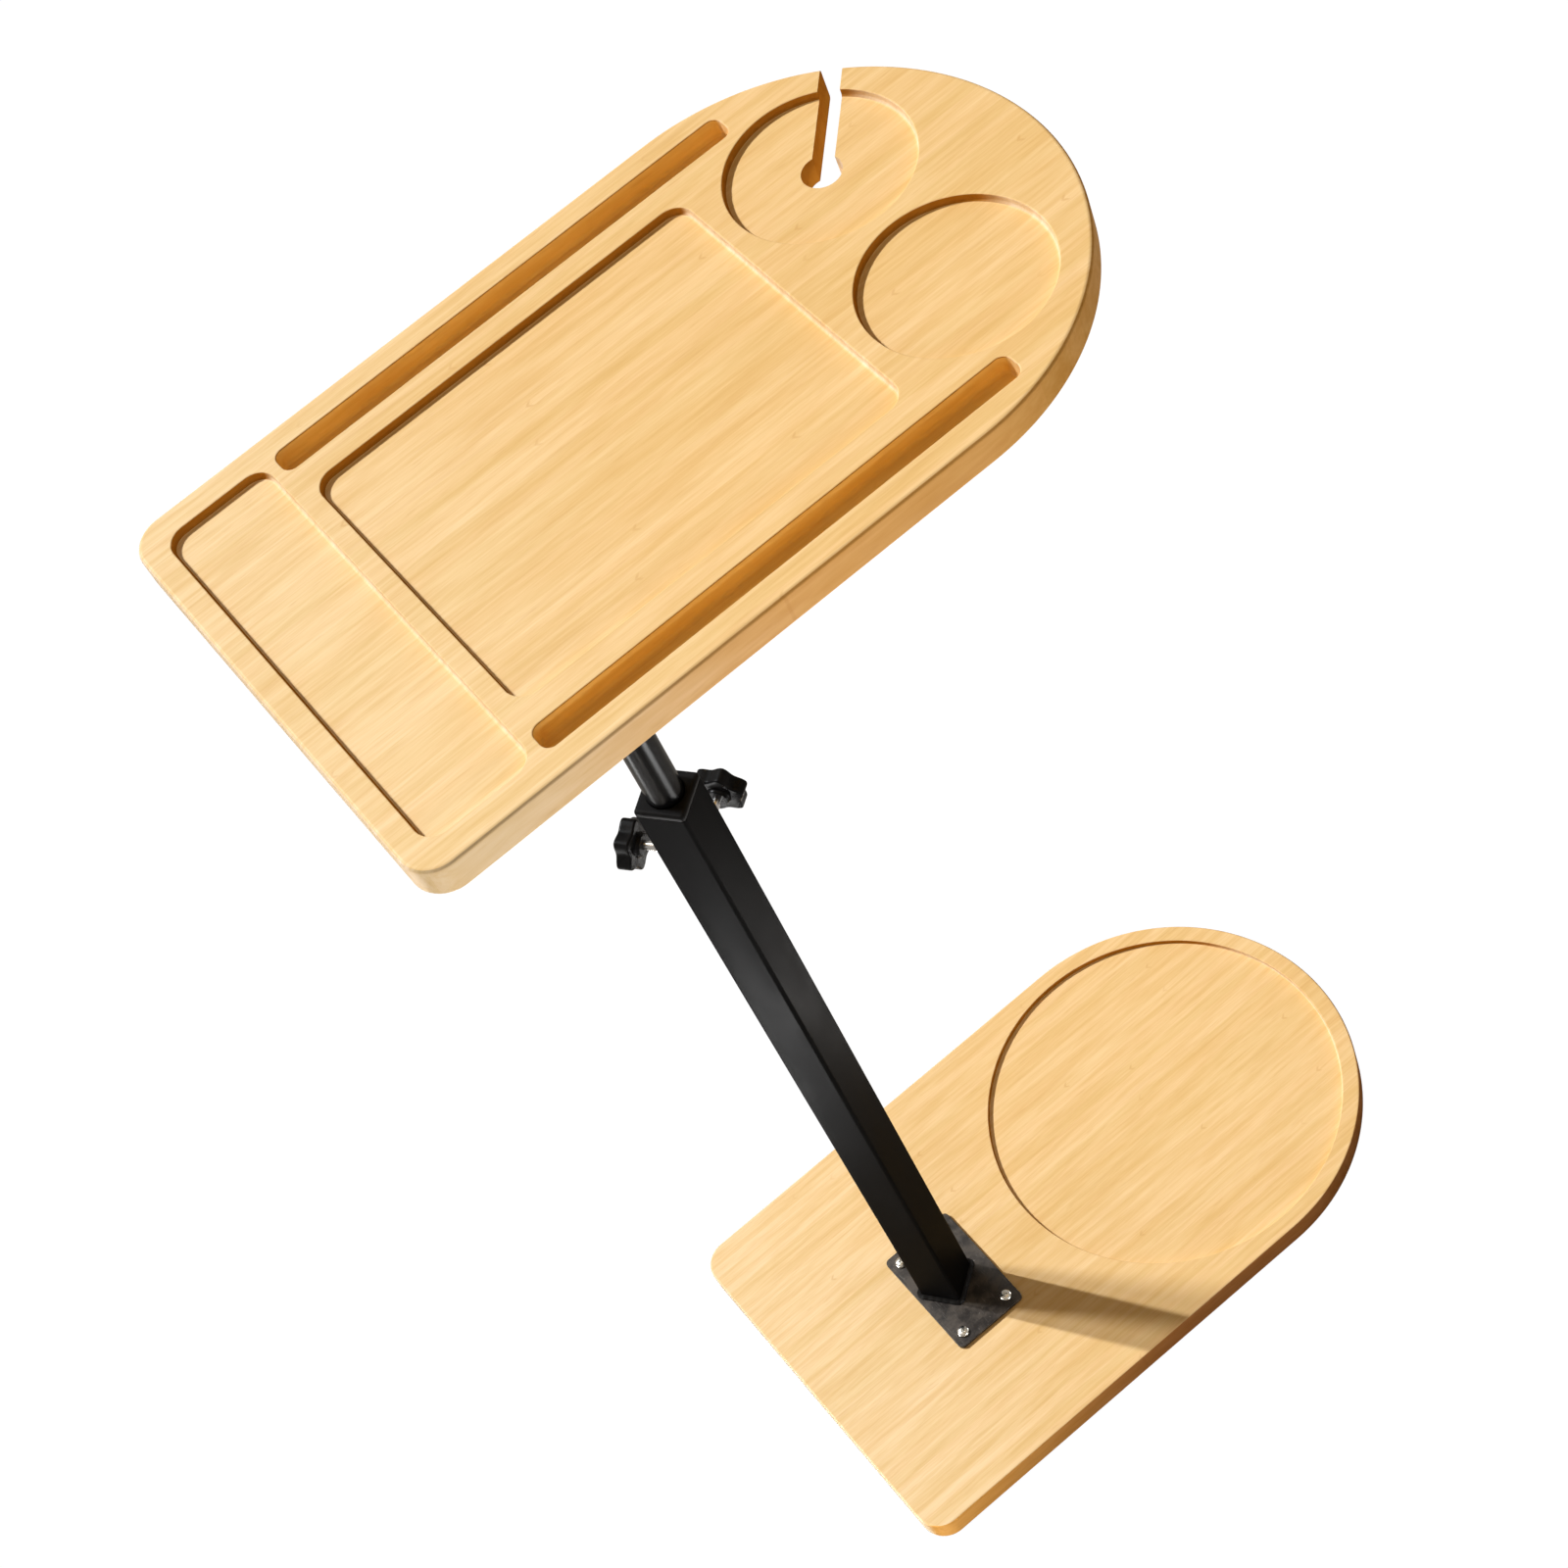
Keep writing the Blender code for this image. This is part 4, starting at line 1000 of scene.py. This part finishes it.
def clamp_matrix(side):
    """Takes the z axis to the clamp's axis, from the pole's axis outwards."""
    angle = math.radians(CLAMPS[side])
    return (Matrix.Translation((POLE_X, 0, CLAMP_Z)) @ Matrix.Rotation(angle, 4, "Z")
            @ Matrix.Rotation(math.pi / 2, 4, "Y"))


def knob_ring(mesh, radius, valley, z):
    def reach(share):
        dip = (0.5 - 0.5 * math.cos(LOBES * 2 * math.pi * share)) ** VALLEY_POWER
        return radius - valley * dip
    return polar_ring(mesh, KNOB_SIDES, z, reach)


def make_knob(side, plastic):
    """A lobed grip: round hub towards the stud, rounded lobes, a raised ring and a button outside."""
    levels = list(HUB_PROFILE)
    for falling, rising in quarter_round(steps=6):
        levels.append((KNOB_RADIUS - KNOB_ROUND * falling, VALLEY, KNOB_LOW + KNOB_ROUND * rising))
    for falling, rising in quarter_round(steps=6):
        levels.append((KNOB_RADIUS - KNOB_ROUND * rising, VALLEY, KNOB_HIGH - KNOB_ROUND * falling))
    levels += FACE_PROFILE
    mesh = bmesh.new()
    join_as_solid(mesh, [knob_ring(mesh, radius, valley, z) for radius, valley, z in levels])
    matrix = clamp_matrix(side) @ Matrix.Rotation(math.radians(KNOB_TURN[side]), 4, "Z")
    knob = make_object("star_knob_" + side, mesh, matrix)
    finish_piece(knob, "knob_" + side, "clamp_knob_" + side, [plastic], sharp_degrees=50.0)


def stud_ring(mesh, z):
    fade = min(1.0, max(0.0, (SHANK_FROM - z) / STUD_THREAD_FADE))
    tip_limit = STUD_RADIUS - STUD_TIP_CHAMFER + max(0.0, z - STUD_TIP)
    return polar_ring(mesh, STUD_SIDES, z, lambda share: min(
        STUD_RADIUS - STUD_THREAD * thread_dip(z, STUD_PITCH, share) * fade, tip_limit))


def make_stud(side, steel):
    """A stud with a chamfered tip, a screw thread and a plain shank at the knob."""
    threaded = SHANK_FROM - STUD_TIP
    steps = int(threaded / (STUD_PITCH / STEPS_PER_PITCH))
    heights = [STUD_TIP + threaded * k / steps for k in range(steps + 1)]
    heights += [SHANK_FROM + SHANK_CHAMFER, STUD_END - STUD_END_STEP, STUD_END]
    mesh = bmesh.new()
    join_as_solid(mesh, [stud_ring(mesh, z) for z in heights])
    stud = make_object("clamp_screw_" + side, mesh, clamp_matrix(side))
    finish_piece(stud, "stud_" + side, "clamp_stud_" + side, [steel], sharp_degrees=60.0)


def nut_ring(mesh, limit, z):
    """A hexagon, rounded off where it is further out than the limit."""
    def reach(share):
        within = (2 * math.pi * share + math.pi / 6) % (math.pi / 3) - math.pi / 6
        return min(NUT_HALF_FLATS / math.cos(within), limit)
    return polar_ring(mesh, NUT_SIDES, z, reach, math.pi / 6)


def make_nut(side, coat):
    """A hexagonal nut with chamfered corners."""
    mesh = bmesh.new()
    join_as_sleeve(mesh, [nut_ring(mesh, limit, z) for limit, z in NUT_PROFILE])
    nut = make_object("weld_nut_" + side, mesh, clamp_matrix(side))
    finish_piece(nut, "stand", "clamp_nut_" + side, [coat], sharp_degrees=30.0)


def make_clamps():
    plastic = grained_plastic("knob_plastic", colour=(0.005, 0.005, 0.0052), roughness=0.27, grain=1500.0,
                              strength=0.10, specular=0.06)
    steel = bright_metal("stud_steel", (0.80, 0.80, 0.79), 0.16, (900.0, 900.0, 900.0))
    coat = black_coat("nut_coat", colour=(0.006, 0.006, 0.0063), roughness=0.40, grain=900.0, specular=0.08)
    for side in CLAMPS:
        make_knob(side, plastic)
        make_stud(side, steel)
        make_nut(side, coat)


# Pads and hidden pieces

PAD_UNDER_ROUND = 0.0003
PAD_TOP_ROUND = 0.0006


def make_pads():
    material = rubber("pad_rubber")
    for place in ("square_front", "square_back", "round_front", "round_back"):
        node = "foot_pad_" + place
        low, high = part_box(node)
        x, y = centre(node)[:2]
        section = rounded_section(low.z, high.z, PAD_UNDER_ROUND, PAD_TOP_ROUND, steps=4)
        pad = solid("pad_" + place, circle(x, y, (high.x - low.x) / 2, sides=64), section)
        finish_piece(pad, "stand", node, [material], sharp_degrees=40.0)


def dress_hidden_nodes():
    """The pieces inside the square tube keep their CAD meshes and get finer materials."""
    looks = {
        "tube_plug": grained_plastic("plug_plastic", (0.02, 0.02, 0.021), 0.5, 1200.0, 0.3),
        "guide_bush": grained_plastic("bush_plastic", (0.018, 0.018, 0.019), 0.45, 1200.0, 0.25),
        "bush_washer": bright_metal("washer_steel", (0.62, 0.61, 0.58), 0.32, (700.0, 700.0, 700.0)),
        "bush_screw": bright_metal("bush_screw_steel", (0.64, 0.63, 0.59), 0.28, (900.0, 900.0, 300.0)),
    }
    for node, material in looks.items():
        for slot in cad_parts[node].material_slots:
            slot.material = material


# Stage

FLOOR_BELOW = 0.0002
FLOOR_COLOUR = (0.40, 0.38, 0.35, 1)
FLOOR_GLOW = 1.05
FLOOR_GLOW_SHARE = 0.955
WHITE = (1, 1, 1, 1)
SKY_STRENGTH = 0.14
GLOSSY_SHARE = 0.30


def seen_share(tree, path):
    """1 for what the camera sees, straight or through glass, and 0 for all other rays."""
    return maths(tree, "MAXIMUM", path.outputs["Is Camera Ray"], path.outputs["Is Transmission Ray"])


def make_floor():
    """A pale floor: nearly white to the camera, and a plain grey for the light that it throws back."""
    mesh = bmesh.new()
    bmesh.ops.create_grid(mesh, x_segments=8, y_segments=8, size=9.0)
    floor = make_object("studio_floor", mesh, Matrix.Translation((0, 0, -FLOOR_BELOW)))
    material = bpy.data.materials.new("studio_floor")
    material.use_nodes = True
    tree = material.node_tree
    shader = tree.nodes["Principled BSDF"]
    shader.inputs["Base Color"].default_value = FLOOR_COLOUR
    shader.inputs["Roughness"].default_value = 0.9
    shader.inputs["Specular IOR Level"].default_value = 0.1
    path = tree.nodes.new("ShaderNodeLightPath")
    seen = seen_share(tree, path)
    glow = add_node(tree, "ShaderNodeEmission", {"Color": WHITE, "Strength": FLOOR_GLOW})
    share = maths(tree, "MULTIPLY", seen, FLOOR_GLOW_SHARE)
    sockets = {0: share, 1: shader.outputs[0], 2: glow.outputs[0]}
    blend = add_node(tree, "ShaderNodeMixShader", sockets)
    tree.links.new(blend.outputs[0], tree.nodes["Material Output"].inputs["Surface"])
    floor.data.materials.append(material)


def make_world():
    """White to the camera, partly white in reflections, and a faint warm light on everything else."""
    world = bpy.data.worlds.new("studio")
    bpy.context.scene.world = world
    world.use_nodes = True
    tree = world.node_tree
    tree.nodes.clear()
    path = tree.nodes.new("ShaderNodeLightPath")
    seen = seen_share(tree, path)
    reflected = maths(tree, "MULTIPLY", path.outputs["Is Glossy Ray"], GLOSSY_SHARE)
    seen = maths(tree, "MAXIMUM", seen, reflected)
    soft = add_node(tree, "ShaderNodeBackground", {"Color": (*WARM_FILL, 1), "Strength": SKY_STRENGTH})
    white = add_node(tree, "ShaderNodeBackground", {"Color": WHITE, "Strength": 1.0})
    sockets = {0: seen, 1: soft.outputs[0], 2: white.outputs[0]}
    blend = add_node(tree, "ShaderNodeMixShader", sockets)
    output = add_node(tree, "ShaderNodeOutputWorld", {"Surface": blend.outputs[0]})
    output.is_active_output = True


# Lights

SUN_ELEVATION = 46.0
SUN_DISTANCE = 3
KEY_COLOUR = (0.99, 1.0, 1.04)
WARM_FILL = (1.0, 0.74, 0.44)
STREAK_HEIGHT = 0.86
FACE_HEIGHT = 0.5
FLOOR_PANEL_Z = 0.03


def direction(azimuth_degrees, elevation_degrees):
    azimuth = math.radians(azimuth_degrees)
    elevation = math.radians(elevation_degrees)
    return Vector((math.cos(azimuth) * math.cos(elevation), math.sin(azimuth) * math.cos(elevation),
                   math.sin(elevation)))


def add_light(data, power, colour, place, backwards):
    """Puts a lamp in the scene that shines the other way from backwards."""
    data.energy = power
    data.color = colour
    item = bpy.data.objects.new(data.name, data)
    bpy.context.scene.collection.objects.link(item)
    item.location = place
    item.rotation_euler = backwards.to_track_quat("Z", "Y").to_euler()
    return item


def make_sun(name, azimuth, elevation, strength, spread, colour):
    """A sun seen in the given direction. spread is its width in degrees."""
    data = bpy.data.lights.new(name, "SUN")
    data.angle = math.radians(spread)
    to_sun = direction(azimuth, elevation)
    add_light(data, strength, colour, to_sun * SUN_DISTANCE, to_sun)


def make_panel(name, place, target, size, power, colour=(1, 1, 1), reflections_only=True):
    """A soft panel that the camera doesn't see. It shows only in gloss, or lights only what is matt."""
    data = bpy.data.lights.new(name, "AREA")
    data.shape = "RECTANGLE"
    data.size, data.size_y = size
    item = add_light(data, power, colour, place, Vector(place) - Vector(target))
    item.visible_camera = False
    item.visible_transmission = False
    item.visible_diffuse = not reflections_only
    item.visible_glossy = reflections_only


def fill_panel(name, place, target, size, power, colour=(1, 1, 1)):
    make_panel(name, place, target, size, power, colour, reflections_only=False)


def floor_panel(name, azimuth, distance, size, power, height):
    """A low panel beside the pole, aimed at it, that only shows as a streak in its black paint."""
    angle = math.radians(azimuth)
    place = (POLE_X + distance * math.cos(angle), distance * math.sin(angle), FLOOR_PANEL_Z)
    make_panel(name, place, (POLE_X, 0, height), size, power)


def make_lights():
    make_sun("key_light", 122.5, SUN_ELEVATION, strength=2.05, spread=1.2, colour=KEY_COLOUR)
    make_sun("second_key", 129.5, SUN_ELEVATION, strength=1.5, spread=5.0, colour=KEY_COLOUR)
    make_sun("overhead", 0.0, 90.0, strength=0.25, spread=80.0, colour=WARM_FILL)
    fill_panel("left_fill", place=(-0.45, -0.55, 0.50), target=(-0.35, -0.15, 1.0), size=(0.4, 0.2),
               power=4.6, colour=(1.0, 0.97, 0.94))
    fill_panel("edge_fill", place=(-0.20, -0.62, 1.13), target=(-0.20, -0.12, 1.63), size=(0.7, 0.1),
               power=1.2, colour=(1.0, 0.95, 0.88))
    fill_panel("right_fill", place=(0.55, -0.55, 0.50), target=(0.25, -0.15, 1.0), size=(0.4, 0.2),
               power=1.4, colour=(1.0, 0.97, 0.92))
    fill_panel("low_fill", place=(-0.58, -0.44, 0.009), target=(-0.22, -0.15, 0.009), size=(0.16, 0.012),
               power=1.3)
    make_panel("left_sheen", place=(-0.60, 1.0, 2.0), target=(-0.25, 0, 1.0), size=(1.0, 1.0),
               power=18.0, colour=(0.90, 0.96, 1.0))
    floor_panel("left_streak", 169.0, 0.68, size=(0.20, 0.5), power=5.2, height=STREAK_HEIGHT)
    floor_panel("right_streak", 286.0, 0.68, size=(0.30, 0.5), power=13.0, height=STREAK_HEIGHT)
    floor_panel("left_face", 174.5, 0.27, size=(0.16, 0.20), power=2.0, height=FACE_HEIGHT)
    floor_panel("right_face", 354.5, 0.28, size=(0.14, 0.18), power=1.25, height=FACE_HEIGHT)


# Camera: its angles are in degrees, and its lens and sensor in millimetres.

CAMERA_AZIMUTH = 75.5203
CAMERA_ELEVATION = 54.2383
CAMERA_ROLL = 27.2295
CAMERA_PLACE = (-0.31501, -1.05548, 2.18614)
CAMERA_LENS = 72.1102


def make_camera():
    """Looks down by the elevation, towards the azimuth, with the frame rolled about that line."""
    forward = direction(CAMERA_AZIMUTH, -CAMERA_ELEVATION)
    roll = math.radians(CAMERA_ROLL)
    level_right = forward.cross(Vector((0, 0, 1))).normalized()
    level_down = forward.cross(level_right)
    right = level_right * math.cos(roll) + level_down * math.sin(roll)
    down = forward.cross(right)
    data = bpy.data.cameras.new("camera")
    data.lens = CAMERA_LENS
    data.sensor_width = 36.0
    data.clip_end = 50.0
    camera = bpy.data.objects.new("camera", data)
    bpy.context.scene.collection.objects.link(camera)
    turn = Matrix((right, -down, -forward)).transposed().to_4x4()
    camera.matrix_world = Matrix.Translation(CAMERA_PLACE) @ turn
    bpy.context.scene.camera = camera


make_tabletop()
make_base_board()
make_outer_tube()
make_inner_tube()
make_top_cap()
make_welds()
make_plate("foot_plate", "base_plate", "stand")
make_plate("head_plate", "upper_plate", "column")
make_screws()
make_clamps()
make_pads()
dress_hidden_nodes()
make_floor()
make_world()
make_lights()
make_camera()
bpy.context.scene.view_settings.view_transform = "Standard"
